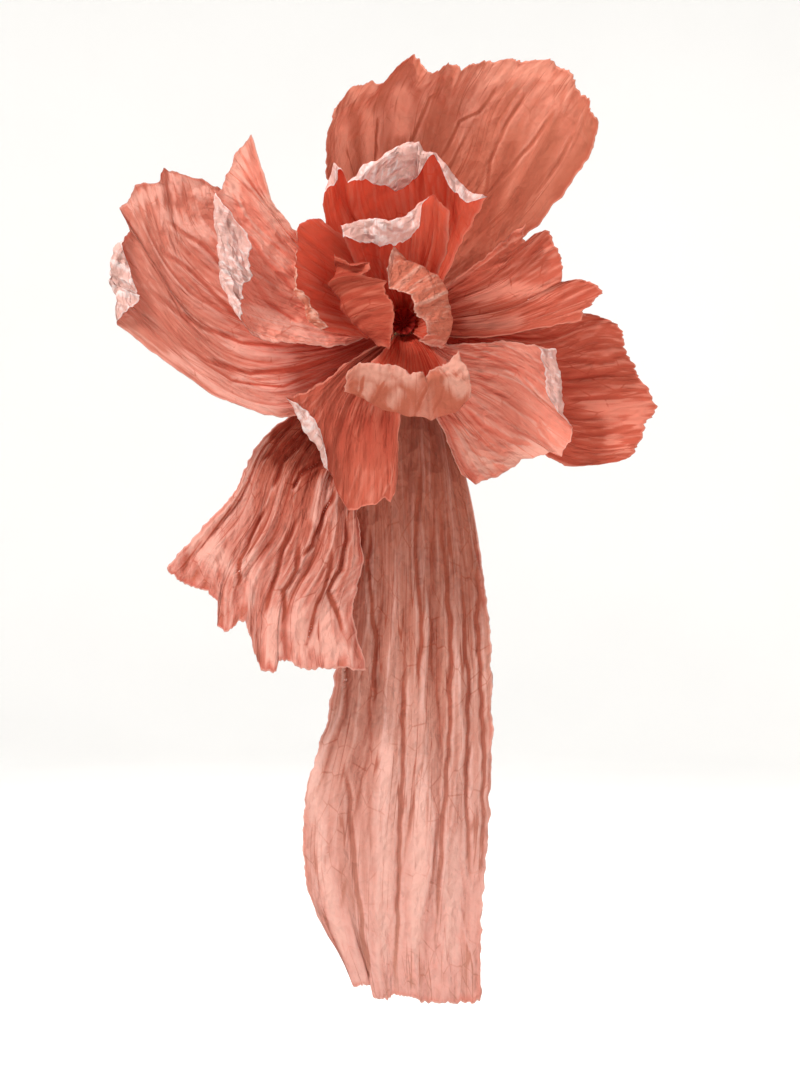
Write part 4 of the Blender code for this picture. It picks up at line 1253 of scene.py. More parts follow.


# The petals. Their guiding points, rims and creases are given to the nearest 5 mm.
# Each petal's lines of painted light and painted shade stand in for the light and shade that fall on it.
PETALS = (
    Petal(
        name="hanging_petal",
        ring=3,
        seat=-76,
        seat_arc=40,
        flare=0.05,
        cut=(0.45, 1.35),
        area=0.41,
        rows=(
            (
                (0.115, -0.265, 0.09), (0.07, -0.225, 0.1), (0.01, -0.215, 0.105), (-0.05, -0.235, 0.1),
                (-0.105, -0.27, 0.09),
            ),
            (
                (0.155, -0.45, 0.065), (0.09, -0.455, 0.08), (0.02, -0.455, 0.09),
                (-0.05, -0.455, 0.085), (-0.11, -0.455, 0.07),
            ),
            (
                (0.175, -0.735, 0.05), (0.095, -0.76, 0.065), (0.015, -0.765, 0.07),
                (-0.07, -0.765, 0.065), (-0.15, -0.765, 0.05),
            ),
            (
                (0.175, -0.93, 0.04), (0.095, -0.93, 0.055), (0.005, -0.93, 0.06),
                (-0.095, -0.93, 0.055), (-0.195, -0.93, 0.045),
            ),
            (
                (0.16, -1.13, 0.04), (0.085, -1.14, 0.05), (-0.005, -1.15, 0.055),
                (-0.095, -1.14, 0.055), (-0.19, -1.115, 0.045),
            ),
            (
                (0.16, -1.31, 0.04), (0.085, -1.335, 0.05), (0.005, -1.32, 0.05),
                (-0.055, -1.315, 0.05), (-0.115, -1.27, 0.045),
            ),
        ),
        rim=(
            (0.155, -1.325), (0.135, -1.335), (0.095, -1.33), (0.05, -1.335), (0.01, -1.32),
            (-0.02, -1.315), (-0.03, -1.33), (-0.06, -1.32), (-0.065, -1.295), (-0.1, -1.3),
            (-0.11, -1.27),
        ),
        front=Tone.ROSE,
        reverse=Tone.BLUSH,
        slot="paper_pale",
        folding=Folding(
            folds=11,
            body=0.012,
            rim=0.01,
            wander=0.9,
            gathers=40,
            gather=0.0008,
            creases=44,
            crease=0.0024,
            slant=0.12,
            crumple=0.0007,
            ruffle=0.006,
            ruffles=7.0,
            groove=0.006,
            grooves=(
                ((0, -0.61), (0, -0.845), (-0.01, -1.08), (-0.015, -1.315)),
                ((-0.06, -0.35), (-0.07, -0.455), (-0.055, -0.61), (-0.06, -0.765)),
                (
                    (0.07, -0.28), (0.08, -0.455), (0.095, -0.61), (0.09, -0.845), (0.07, -1.08),
                    (0.065, -1.24),
                ),
                ((0.035, -0.26), (0.025, -0.415), (0.035, -0.61), (0.03, -0.73)),
                ((0.115, -0.455), (0.125, -0.61), (0.13, -0.77), (0.125, -0.925), (0.135, -1.12)),
                ((-0.115, -0.845), (-0.1, -1.025), (-0.08, -1.2), (-0.06, -1.315)),
                ((0.145, -0.38), (0.15, -0.61), (0.16, -0.845), (0.155, -1.12)),
            ),
            pale=(
                ((-0.165, -0.77), (-0.18, -0.925), (-0.16, -1.08), (-0.125, -1.22), (-0.105, -1.295)),
                ((-0.03, -0.73), (-0.035, -0.925), (-0.04, -1.12), (-0.035, -1.315)),
                ((0.045, -0.845), (0.035, -1.04), (0.025, -1.275)),
                ((0.105, -0.965), (0.095, -1.12), (0.09, -1.295)),
            ),
        ),
    ),
    Petal(
        name="top_back_petal",
        ring=3,
        seat=74,
        seat_arc=46,
        flare=0.06,
        cut=(0.56, 0.5),
        area=0.18,
        rows=(
            (
                (-0.055, 0.125, 0.1), (-0.025, 0.16, 0.09), (0.01, 0.17, 0.09), (0.055, 0.15, 0.09),
                (0.1, 0.09, 0.1),
            ),
            (
                (-0.145, 0.28, 0.16), (-0.06, 0.34, 0.125), (0.055, 0.35, 0.115), (0.165, 0.32, 0.13),
                (0.255, 0.19, 0.15),
            ),
            (
                (-0.145, 0.36, 0.195), (-0.06, 0.425, 0.165), (0.085, 0.43, 0.155), (0.215, 0.41, 0.17),
                (0.345, 0.3, 0.195),
            ),
            (
                (-0.13, 0.415, 0.225), (-0.015, 0.495, 0.22), (0.12, 0.49, 0.215), (0.29, 0.495, 0.225),
                (0.37, 0.37, 0.24),
            ),
        ),
        rim=(
            (-0.13, 0.405), (-0.115, 0.425), (-0.095, 0.445), (-0.07, 0.455), (-0.045, 0.455),
            (-0.025, 0.47), (-0.01, 0.485), (0.005, 0.495), (0.02, 0.505), (0.035, 0.495),
            (0.045, 0.48), (0.06, 0.475), (0.07, 0.48), (0.085, 0.49), (0.1, 0.485), (0.11, 0.475),
            (0.13, 0.49), (0.155, 0.495), (0.205, 0.495), (0.24, 0.495), (0.28, 0.495), (0.3, 0.485),
            (0.325, 0.47), (0.325, 0.44), (0.355, 0.42), (0.355, 0.395), (0.37, 0.37),
        ),
        front=Tone.CLAY,
        reverse=Tone.BLUSH,
        folding=Folding(
            folds=9,
            body=0.0028,
            rim=0.004,
            wander=0.6,
            creases=14,
            crease=0.0014,
            slant=0.2,
            crumple=0.0006,
            ruffle=0.009,
            ruffles=13.0,
            rag=0.0044,
            groove=0.0032,
            groove_width=0.0056,
            # Painted shade on the right part of the petal, where it lies in shadow on the wall side.
            painted_shade=(
                ((0.365, 0.405), (0.365, 0.34), (0.325, 0.285), (0.28, 0.23)),
                ((0.295, 0.415), (0.28, 0.35), (0.245, 0.275), (0.2, 0.2)),
                ((0.225, 0.385), (0.2, 0.31), (0.165, 0.235), (0.13, 0.165)),
            ),
            grooves=(
                ((-0.055, 0.31), (-0.05, 0.405)),
                ((0.01, 0.35), (0.05, 0.435), (0.07, 0.445)),
                ((0.07, 0.32), (0.11, 0.395), (0.145, 0.41), (0.185, 0.46)),
                ((0.155, 0.245), (0.18, 0.35), (0.215, 0.415), (0.24, 0.445)),
                ((0.145, 0.235), (0.205, 0.3), (0.25, 0.35), (0.3, 0.415)),
                ((0.25, 0.245), (0.3, 0.31), (0.33, 0.365)),
            ),
            pale=(
                ((-0.11, 0.435), (-0.08, 0.445), (-0.045, 0.46)),
                ((0.145, 0.47), (0.225, 0.48), (0.3, 0.485)),
                ((-0.125, 0.405), (-0.115, 0.34), (-0.115, 0.275), (-0.125, 0.215)),
                ((-0.07, 0.44), (-0.065, 0.38), (-0.06, 0.32), (-0.07, 0.265)),
                ((-0.01, 0.47), (0, 0.42), (-0.005, 0.36)),
            ),
        ),
    ),
    Petal(
        name="right_back_petal",
        ring=3,
        seat=-12,
        seat_arc=40,
        flare=0.062,
        cut=(0.4, 0.46),
        area=0.0984,
        rows=(
            ((0.13, 0, 0.115), (0.15, -0.035, 0.11), (0.15, -0.075, 0.105), (0.13, -0.11, 0.11)),
            ((0.275, 0.005, 0.13), (0.305, -0.06, 0.12), (0.305, -0.155, 0.115), (0.255, -0.23, 0.125)),
            ((0.34, 0.015, 0.145), (0.39, -0.065, 0.13), (0.405, -0.165, 0.13), (0.35, -0.27, 0.14)),
            ((0.405, 0.01, 0.16), (0.46, -0.08, 0.145), (0.49, -0.165, 0.15), (0.445, -0.26, 0.165)),
        ),
        rim=(
            (0.335, 0.01), (0.36, 0.02), (0.39, 0.01), (0.42, 0), (0.43, -0.04), (0.45, -0.09),
            (0.475, -0.125), (0.49, -0.16), (0.485, -0.175), (0.47, -0.185), (0.455, -0.235),
            (0.435, -0.255), (0.41, -0.265),
        ),
        front=Tone.SALMON,
        reverse=Tone.BLUSH,
        folding=Folding(
            folds=11,
            body=0.006,
            rim=0.005,
            wander=0.5,
            creases=36,
            ruffle=0.009,
            ruffles=12.0,
            rag=0.0044,
            grooves=(
                ((0.315, -0.145), (0.385, -0.14), (0.435, -0.14)),
                ((0.315, -0.215), (0.385, -0.21), (0.465, -0.19)),
                ((0.31, -0.065), (0.385, -0.07), (0.445, -0.055)),
            ),
            pale=(
                ((0.335, -0.15), (0.405, -0.165), (0.485, -0.16)),
                ((0.385, -0.22), (0.445, -0.235)),
                ((0.425, -0.19), (0.465, -0.18), (0.475, -0.22)),
            ),
        ),
    ),
    Petal(
        name="lower_left_long_petal",
        ring=3,
        seat=-125,
        seat_arc=40,
        flare=0.078,
        cut=(0.5, 0.68),
        area=0.213,
        rows=(
            (
                (-0.045, -0.22, 0.115), (-0.07, -0.195, 0.12), (-0.1, -0.165, 0.12),
                (-0.125, -0.145, 0.115), (-0.16, -0.13, 0.105),
            ),
            (
                (-0.085, -0.325, 0.12), (-0.12, -0.3, 0.13), (-0.17, -0.275, 0.135),
                (-0.22, -0.25, 0.125), (-0.275, -0.22, 0.11),
            ),
            (
                (-0.08, -0.465, 0.13), (-0.14, -0.455, 0.145), (-0.21, -0.435, 0.15),
                (-0.275, -0.395, 0.13), (-0.34, -0.335, 0.105),
            ),
            (
                (-0.095, -0.555, 0.13), (-0.17, -0.555, 0.15), (-0.255, -0.545, 0.15),
                (-0.335, -0.495, 0.13), (-0.415, -0.425, 0.105),
            ),
            (
                (-0.07, -0.665, 0.125), (-0.16, -0.665, 0.15), (-0.265, -0.67, 0.15),
                (-0.35, -0.575, 0.13), (-0.46, -0.48, 0.11),
            ),
        ),
        rim=(
            (-0.07, -0.67), (-0.115, -0.665), (-0.16, -0.665), (-0.18, -0.67), (-0.2, -0.665),
            (-0.22, -0.65), (-0.24, -0.65), (-0.245, -0.67), (-0.275, -0.67), (-0.29, -0.63),
            (-0.305, -0.575), (-0.315, -0.575), (-0.34, -0.595), (-0.36, -0.585), (-0.36, -0.535),
            (-0.385, -0.515), (-0.44, -0.495), (-0.46, -0.47),
        ),
        front=Tone.DUSK,
        reverse=Tone.BLUSH,
        folding=Folding(
            folds=13,
            body=0.013,
            rim=0.014,
            wander=0.6,
            creases=46,
            crease=0.003,
            slant=0.14,
            crumple=0.0009,
            ruffle=0.01,
            ruffles=9.0,
            groove=0.009,
            grooves=(
                ((-0.2, -0.175), (-0.245, -0.225), (-0.275, -0.265)),
                ((-0.175, -0.185), (-0.205, -0.235), (-0.235, -0.265), (-0.255, -0.32)),
                ((-0.155, -0.255), (-0.2, -0.29), (-0.22, -0.32)),
                ((-0.13, -0.315), (-0.155, -0.37), (-0.175, -0.425), (-0.2, -0.455)),
                (
                    (-0.11, -0.36), (-0.11, -0.415), (-0.12, -0.475), (-0.145, -0.515), (-0.125, -0.57),
                    (-0.11, -0.61),
                ),
                ((-0.26, -0.34), (-0.3, -0.415), (-0.315, -0.455), (-0.32, -0.515)),
                ((-0.2, -0.36), (-0.235, -0.435), (-0.255, -0.515), (-0.27, -0.57)),
                ((-0.2, -0.415), (-0.205, -0.475), (-0.23, -0.515), (-0.235, -0.59)),
                ((-0.14, -0.425), (-0.14, -0.475), (-0.16, -0.53), (-0.19, -0.63)),
            ),
            # Painted shade near the neck, below the flower's head.
            painted_shade=(
                ((-0.27, -0.225), (-0.23, -0.19), (-0.19, -0.17)),
                ((-0.26, -0.28), (-0.215, -0.23), (-0.165, -0.195)),
                ((-0.205, -0.305), (-0.17, -0.255), (-0.14, -0.22)),
            ),
            pale=(
                ((-0.38, -0.395), (-0.365, -0.435), (-0.325, -0.495)),
                ((-0.405, -0.38), (-0.385, -0.425), (-0.365, -0.485)),
                ((-0.16, -0.53), (-0.15, -0.6), (-0.11, -0.65)),
                ((-0.2, -0.515), (-0.205, -0.59), (-0.19, -0.655)),
                ((-0.15, -0.28), (-0.16, -0.34), (-0.17, -0.395)),
                ((-0.285, -0.425), (-0.295, -0.495), (-0.305, -0.555)),
                ((-0.22, -0.55), (-0.18, -0.61), (-0.12, -0.655)),
                ((-0.42, -0.365), (-0.405, -0.425), (-0.38, -0.465)),
                ((-0.245, -0.53), (-0.255, -0.61), (-0.245, -0.665)),
            ),
        ),
    ),
    Petal(
        name="left_petal",
        ring=2,
        seat=190,
        seat_arc=44,
        flare=0.085,
        cut=(0.46, 0.56),
        area=0.164,
        rows=(
            (
                (-0.11, -0.12, 0.155), (-0.13, -0.07, 0.145), (-0.135, -0.03, 0.14),
                (-0.13, 0.005, 0.145), (-0.12, 0.04, 0.15),
            ),
            (
                (-0.205, -0.18, 0.19), (-0.26, -0.11, 0.16), (-0.29, -0.02, 0.15), (-0.28, 0.055, 0.15),
                (-0.235, 0.12, 0.165),
            ),
            (
                (-0.36, -0.14, 0.21), (-0.415, -0.05, 0.17), (-0.44, 0.055, 0.16), (-0.42, 0.16, 0.16),
                (-0.33, 0.215, 0.18),
            ),
            (
                (-0.535, -0.015, 0.225), (-0.56, 0.07, 0.2), (-0.535, 0.2, 0.19), (-0.455, 0.28, 0.19),
                (-0.355, 0.255, 0.195),
            ),
        ),
        rim=(
            (-0.54, -0.01), (-0.545, 0.005), (-0.545, 0.045), (-0.56, 0.07), (-0.555, 0.095),
            (-0.54, 0.135), (-0.515, 0.165), (-0.54, 0.215), (-0.525, 0.23), (-0.51, 0.255),
            (-0.465, 0.265), (-0.455, 0.29), (-0.425, 0.28), (-0.39, 0.27), (-0.35, 0.255),
        ),
        lip=(0.02, 0.062, 0.084, 0.066, 0.03, 0.01, 0.006, 0.006, 0.008, 0.014, 0.008, 0.006, 0.006),
        roll=(158, 165, 166, 166, 150, 60, 30, 30, 60, 120, 60, 30, 30),
        front=Tone.CORAL,
        reverse=Tone.BLUSH,
        folding=Folding(
            folds=17,
            body=0.007,
            rim=0.005,
            wander=0.6,
            creases=50,
            crease=0.0024,
            slant=0.14,
            crumple=0.0006,
            ruffle=0.008,
            ruffles=13.0,
            groove=0.005,
            grooves=(
                ((-0.505, 0.07), (-0.455, 0.04), (-0.39, -0.005), (-0.31, -0.035), (-0.195, -0.045)),
                ((-0.485, 0.155), (-0.405, 0.1), (-0.33, 0.025), (-0.255, -0.025)),
                ((-0.465, 0.205), (-0.39, 0.155), (-0.32, 0.08)),
                ((-0.445, -0.03), (-0.38, -0.07), (-0.295, -0.095), (-0.18, -0.08)),
                ((-0.415, -0.055), (-0.33, -0.11), (-0.235, -0.12), (-0.16, -0.09)),
            ),
            pale=(
                ((-0.485, -0.045), (-0.415, -0.075), (-0.35, -0.13), (-0.27, -0.165), (-0.195, -0.15)),
                ((-0.465, 0.275), (-0.415, 0.27), (-0.355, 0.24)),
                ((-0.535, 0.22), (-0.505, 0.24), (-0.455, 0.255)),
                ((-0.485, 0.215), (-0.405, 0.19), (-0.365, 0.155)),
                ((-0.36, -0.025), (-0.295, -0.055), (-0.195, -0.065)),
                ((-0.34, -0.095), (-0.265, -0.12), (-0.195, -0.11)),
            ),
        ),
    ),
    Petal(
        name="upper_left_petal",
        ring=2,
        seat=143,
        seat_arc=34,
        flare=0.1,
        cut=(0.42, 0.48),
        area=0.0984,
        rows=(
            (
                (-0.1, -0.04, 0.18), (-0.1, -0.005, 0.17), (-0.1, 0.03, 0.17), (-0.09, 0.06, 0.17),
                (-0.075, 0.085, 0.175),
            ),
            (
                (-0.21, -0.04, 0.225), (-0.22, 0.025, 0.2), (-0.215, 0.075, 0.195),
                (-0.205, 0.125, 0.195), (-0.185, 0.155, 0.205),
            ),
            (
                (-0.295, -0.01, 0.26), (-0.305, 0.06, 0.235), (-0.305, 0.13, 0.23),
                (-0.285, 0.185, 0.23), (-0.25, 0.23, 0.23),
            ),
            (
                (-0.33, 0.03, 0.28), (-0.35, 0.09, 0.26), (-0.355, 0.155, 0.26), (-0.355, 0.225, 0.255),
                (-0.285, 0.34, 0.26),
            ),
        ),
        rim=(
            (-0.305, -0.005), (-0.33, 0.035), (-0.34, 0.075), (-0.345, 0.11), (-0.345, 0.14),
            (-0.35, 0.17), (-0.35, 0.205), (-0.35, 0.23), (-0.335, 0.25), (-0.32, 0.29), (-0.305, 0.32),
            (-0.285, 0.345),
        ),
        lip=(0.02, 0.04, 0.062, 0.085, 0.088, 0.08, 0.04, 0.006, 0.006, 0.006, 0.006),
        roll=(150, 165, 165, 165, 165, 165, 160, 40, 20, 20, 20),
        front=Tone.PEACH,
        reverse=Tone.BLUSH,
        folding=Folding(
            folds=13,
            body=0.005,
            rim=0.004,
            wander=0.5,
            creases=36,
            ruffle=0.004,
            groove=0.004,
            grooves=(
                ((-0.3, 0.17), (-0.26, 0.115), (-0.205, 0.055)),
                ((-0.31, 0.105), (-0.255, 0.04), (-0.195, -0.005)),
                ((-0.345, -0.02), (-0.28, -0.045), (-0.195, -0.055)),
            ),
            pale=(
                ((-0.31, 0.185), (-0.275, 0.155), (-0.24, 0.125), (-0.205, 0.1)),
                ((-0.315, 0.04), (-0.255, 0.01), (-0.175, -0.025), (-0.13, -0.035)),
                ((-0.34, -0.02), (-0.27, -0.05), (-0.195, -0.065)),
                ((-0.295, 0.345), (-0.31, 0.305), (-0.32, 0.255), (-0.335, 0.215)),
                ((-0.27, 0.25), (-0.245, 0.2), (-0.21, 0.17)),
            ),
        ),
    ),
    Petal(
        name="right_upper_petal",
        ring=2,
        seat=18,
        seat_arc=36,
        flare=0.112,
        cut=(0.32, 0.4),
        area=0.0738,
        rows=(
            (
                (0.07, 0.06, 0.18), (0.085, 0.04, 0.17), (0.09, 0.015, 0.17), (0.09, -0.005, 0.17),
                (0.08, -0.025, 0.175),
            ),
            (
                (0.16, 0.125, 0.215), (0.185, 0.08, 0.195), (0.205, 0.04, 0.19), (0.22, 0.005, 0.19),
                (0.195, -0.025, 0.205),
            ),
            (
                (0.235, 0.18, 0.245), (0.29, 0.15, 0.22), (0.31, 0.085, 0.215), (0.375, 0.06, 0.23),
                (0.33, 0, 0.24),
            ),
        ),
        rim=(
            (0.23, 0.185), (0.23, 0.15), (0.25, 0.165), (0.275, 0.175), (0.295, 0.14), (0.305, 0.105),
            (0.3, 0.075), (0.33, 0.08), (0.355, 0.075), (0.38, 0.055), (0.36, 0.035), (0.345, 0.02),
            (0.335, 0),
        ),
        front=Tone.SALMON,
        reverse=Tone.BLUSH,
        folding=Folding(
            folds=14,
            body=0.006,
            rim=0.005,
            wander=0.5,
            creases=36,
            ruffle=0.008,
            ruffles=11.0,
            pale=(
                ((0.115, 0.04), (0.185, 0.065), (0.265, 0.055), (0.305, 0.065)),
                ((0.1, 0.005), (0.185, -0.005), (0.245, 0.005)),
            ),
        ),
    ),
    Petal(
        name="right_lower_petal",
        ring=2,
        seat=-36,
        seat_arc=40,
        flare=0.102,
        cut=(0.38, 0.42),
        area=0.082,
        rows=(
            (
                (0.09, -0.04, 0.16), (0.1, -0.07, 0.15), (0.09, -0.105, 0.15), (0.07, -0.13, 0.15),
                (0.045, -0.145, 0.16),
            ),
            (
                (0.195, -0.035, 0.19), (0.225, -0.095, 0.17), (0.2, -0.165, 0.165),
                (0.15, -0.215, 0.17), (0.09, -0.225, 0.18),
            ),
            (
                (0.29, -0.05, 0.21), (0.315, -0.15, 0.2), (0.315, -0.24, 0.2), (0.225, -0.265, 0.19),
                (0.13, -0.305, 0.2),
            ),
        ),
        rim=(
            (0.275, -0.05), (0.29, -0.09), (0.295, -0.13), (0.3, -0.17), (0.315, -0.195),
            (0.315, -0.225), (0.3, -0.255), (0.275, -0.245), (0.245, -0.26), (0.22, -0.26),
            (0.21, -0.275), (0.18, -0.29), (0.135, -0.305), (0.11, -0.29),
        ),
        lip=(0.045, 0.05, 0.042, 0.008, 0.006, 0.006, 0.006, 0.006, 0.006),
        roll=(160, 160, 150, 40, 20, 20, 20, 20, 20),
        front=Tone.PEACH,
        reverse=Tone.BLUSH,
        folding=Folding(
            folds=13,
            body=0.007,
            rim=0.007,
            wander=0.5,
            creases=40,
            crease=0.0026,
            ruffle=0.006,
            pale=(
                ((0.185, -0.28), (0.245, -0.245), (0.305, -0.26)),
                ((0.095, -0.185), (0.13, -0.26), (0.185, -0.29)),
            ),
            grooves=(
                ((0.13, -0.105), (0.185, -0.135), (0.255, -0.185), (0.305, -0.245)),
                ((0.11, -0.155), (0.15, -0.195), (0.205, -0.225), (0.255, -0.235)),
                ((0.15, -0.07), (0.225, -0.09), (0.285, -0.145)),
            ),
        ),
    ),
    Petal(
        name="lower_left_petal",
        ring=2,
        seat=-112,
        seat_arc=40,
        flare=0.112,
        cut=(0.32, 0.4),
        area=0.0656,
        rows=(
            (
                (0, -0.105, 0.185), (-0.03, -0.115, 0.18), (-0.06, -0.105, 0.18), (-0.085, -0.09, 0.18),
                (-0.1, -0.07, 0.185),
            ),
            (
                (-0.01, -0.225, 0.205), (-0.05, -0.23, 0.195), (-0.095, -0.215, 0.195),
                (-0.135, -0.17, 0.2), (-0.16, -0.12, 0.21),
            ),
            (
                (-0.015, -0.335, 0.205), (-0.06, -0.345, 0.205), (-0.105, -0.355, 0.21),
                (-0.155, -0.255, 0.22), (-0.215, -0.145, 0.23),
            ),
        ),
        rim=(
            (-0.01, -0.295), (-0.015, -0.32), (-0.025, -0.34), (-0.035, -0.33), (-0.05, -0.345),
            (-0.075, -0.345), (-0.105, -0.355), (-0.125, -0.32), (-0.145, -0.27), (-0.165, -0.225),
            (-0.19, -0.185), (-0.215, -0.145),
        ),
        lip=(0.006, 0.006, 0.006, 0.006, 0.006, 0.008, 0.028, 0.044, 0.038, 0.02),
        roll=(20, 20, 20, 20, 20, 60, 150, 160, 160, 120),
        front=Tone.SALMON,
        reverse=Tone.BLUSH,
        folding=Folding(
            folds=11,
            body=0.005,
            rim=0.004,
            wander=0.5,
            creases=30,
            ruffle=0.004,
            painted_shade=(
                ((-0.125, -0.17), (-0.115, -0.225), (-0.1, -0.285)),
                ((-0.08, -0.16), (-0.065, -0.225), (-0.06, -0.29)),
                ((-0.035, -0.165), (-0.03, -0.225), (-0.03, -0.275)),
            ),
        ),
    ),
    Petal(
        name="upper_cup_petal",
        ring=1,
        seat=95,
        seat_arc=84,
        flare=0.125,
        cut=(0.42, 0.4),
        area=0.0984,
        rows=(
            (
                (-0.055, 0.06, 0.195), (-0.035, 0.085, 0.19), (-0.015, 0.1, 0.185),
                (0.015, 0.105, 0.185), (0.045, 0.09, 0.19), (0.065, 0.06, 0.195),
            ),
            (
                (-0.135, 0.155, 0.22), (-0.1, 0.195, 0.21), (-0.045, 0.225, 0.205),
                (0.025, 0.24, 0.205), (0.08, 0.215, 0.21), (0.12, 0.16, 0.22),
            ),
            (
                (-0.155, 0.23, 0.27), (-0.115, 0.28, 0.285), (-0.035, 0.32, 0.295),
                (0.035, 0.325, 0.295), (0.09, 0.29, 0.285), (0.16, 0.22, 0.265),
            ),
        ),
        rim=(
            (-0.15, 0.21), (-0.145, 0.24), (-0.135, 0.265), (-0.13, 0.285), (-0.115, 0.27),
            (-0.105, 0.25), (-0.09, 0.26), (-0.075, 0.28), (-0.05, 0.29), (-0.03, 0.305), (0, 0.32),
            (0.03, 0.325), (0.04, 0.305), (0.06, 0.305), (0.075, 0.29), (0.09, 0.27), (0.105, 0.25),
            (0.125, 0.23), (0.155, 0.225),
        ),
        lip=(
            0.01, 0.016, 0.026, 0.034, 0.02, 0.02, 0.024, 0.04, 0.06, 0.078, 0.095, 0.108, 0.112, 0.084,
            0.026, 0.026, 0.034, 0.036, 0.034, 0.032, 0.016,
        ),
        roll=(
            120, 130, 140, 150, 150, 160, 165, 168, 170, 170, 170, 170, 170, 170, 150, 150, 155, 155,
            155, 150, 140,
        ),
        front=Tone.EMBER,
        reverse=Tone.BLUSH,
        slot="paper_deep",
        folding=Folding(
            folds=13,
            body=0.004,
            rim=0.002,
            wander=0.5,
            creases=30,
            crease=0.002,
            ruffle=0.003,
        ),
    ),
    Petal(
        name="left_cup_petal",
        ring=1,
        seat=180,
        seat_arc=64,
        flare=0.14,
        cut=(0.28, 0.34),
        area=0.0574,
        rows=(
            (
                (-0.055, -0.03, 0.205), (-0.065, 0, 0.2), (-0.07, 0.03, 0.2), (-0.065, 0.055, 0.205),
                (-0.05, 0.075, 0.21),
            ),
            (
                (-0.105, -0.035, 0.255), (-0.135, 0.02, 0.245), (-0.15, 0.075, 0.245),
                (-0.135, 0.13, 0.245), (-0.105, 0.16, 0.25),
            ),
            (
                (-0.155, -0.035, 0.3), (-0.185, 0.03, 0.31), (-0.205, 0.1, 0.32), (-0.19, 0.17, 0.31),
                (-0.145, 0.195, 0.295),
            ),
        ),
        rim=(
            (-0.15, -0.025), (-0.175, -0.01), (-0.185, 0.02), (-0.2, 0.045), (-0.2, 0.085),
            (-0.195, 0.125), (-0.195, 0.155), (-0.19, 0.17), (-0.17, 0.18), (-0.15, 0.18),
        ),
        lip=(0.03, 0.038, 0.034, 0.024, 0.014, 0.012, 0.01, 0.01, 0.008, 0.006),
        roll=(150, 160, 160, 150, 140, 140, 140, 120, 80, 60),
        front=Tone.EMBER,
        reverse=Tone.SHELL,
        slot="paper_deep",
        folding=Folding(
            folds=11,
            body=0.004,
            rim=0.002,
            wander=0.5,
            creases=24,
            crease=0.002,
            ruffle=0.003,
        ),
    ),
    Petal(
        name="upper_inner_petal",
        ring=0,
        seat=95,
        seat_arc=70,
        flare=0.158,
        cut=(0.26, 0.32),
        area=0.0492,
        rows=(
            (
                (-0.04, 0.04, 0.225), (-0.025, 0.055, 0.22), (-0.005, 0.06, 0.22), (0.015, 0.055, 0.22),
                (0.035, 0.04, 0.225),
            ),
            (
                (-0.095, 0.105, 0.27), (-0.065, 0.13, 0.26), (-0.015, 0.14, 0.255), (0.04, 0.14, 0.26),
                (0.08, 0.12, 0.27),
            ),
            (
                (-0.12, 0.155, 0.31), (-0.075, 0.18, 0.32), (-0.02, 0.18, 0.32), (0.045, 0.21, 0.32),
                (0.085, 0.195, 0.3),
            ),
        ),
        rim=(
            (-0.115, 0.16), (-0.095, 0.17), (-0.075, 0.175), (-0.045, 0.175), (-0.02, 0.175),
            (0.005, 0.185), (0.025, 0.205), (0.045, 0.215), (0.055, 0.22), (0.07, 0.205), (0.085, 0.19),
        ),
        lip=(0.036, 0.058, 0.062, 0.064, 0.056, 0.02, 0.01, 0.01),
        roll=(150, 160, 160, 160, 150, 90, 40, 30),
        front=Tone.EMBER,
        reverse=Tone.BLUSH,
        slot="paper_deep",
        folding=Folding(
            folds=10,
            body=0.004,
            rim=0.002,
            wander=0.5,
            creases=24,
            crease=0.002,
            ruffle=0.003,
        ),
    ),
    Petal(
        name="left_inner_petal",
        ring=0,
        seat=180,
        seat_arc=66,
        flare=0.16,
        cut=(0.22, 0.32),
        area=0.041,
        rows=(
            ((-0.02, -0.03, 0.235), (-0.035, -0.01, 0.23), (-0.04, 0.015, 0.23), (-0.035, 0.04, 0.235)),
            ((-0.05, -0.055, 0.305), (-0.1, -0.015, 0.3), (-0.12, 0.05, 0.3), (-0.105, 0.11, 0.305)),
            ((-0.025, -0.07, 0.365), (-0.015, -0.01, 0.375), (-0.035, 0.05, 0.37), (-0.07, 0.095, 0.355)),
        ),
        rim=(
            (-0.025, -0.065), (-0.02, -0.04), (-0.015, -0.01), (-0.02, 0.015), (-0.035, 0.04),
            (-0.03, 0.06), (-0.06, 0.065), (-0.075, 0.07), (-0.06, 0.08), (-0.06, 0.095),
            (-0.085, 0.09), (-0.1, 0.09), (-0.11, 0.1),
        ),
        front=Tone.EMBER,
        reverse=Tone.RUST,
        folding=Folding(
            folds=8,
            body=0.004,
            rim=0.003,
            wander=0.4,
            creases=20,
            crease=0.0024,
            ruffle=0.003,
        ),
    ),
    Petal(
        name="right_inner_petal",
        ring=0,
        seat=8,
        seat_arc=66,
        flare=0.16,
        cut=(0.22, 0.32),
        area=0.041,
        rows=(
            ((0.02, 0.04, 0.235), (0.03, 0.02, 0.23), (0.035, -0.005, 0.23), (0.025, -0.03, 0.235)),
            ((-0.01, 0.115, 0.3), (0.06, 0.085, 0.305), (0.085, 0.015, 0.305), (0.08, -0.055, 0.3)),
            ((-0.025, 0.06, 0.35), (0.01, 0.04, 0.365), (0.025, -0.005, 0.37), (0.04, -0.045, 0.35)),
        ),
        rim=(
            (-0.03, 0.085), (-0.025, 0.05), (-0.01, 0.04), (0.01, 0.035), (0.02, 0.02), (0.025, -0.005),
            (0.04, -0.015), (0.045, -0.035), (0.03, -0.05),
        ),
        front=Tone.EMBER,
        reverse=Tone.SHELL,
        folding=Folding(
            folds=8,
            body=0.004,
            rim=0.003,
            wander=0.4,
            creases=26,
            crease=0.0026,
            ruffle=0.003,
        ),
    ),
    Petal(
        name="lower_inner_petal",
        ring=0,
        seat=-84,
        seat_arc=76,
        flare=0.162,
        cut=(0.32, 0.38),
        area=0.0738,
        rows=(
            (
                (0.05, -0.045, 0.24), (0.035, -0.055, 0.235), (0.015, -0.06, 0.235),
                (-0.01, -0.06, 0.235), (-0.03, -0.045, 0.24),
            ),
            (
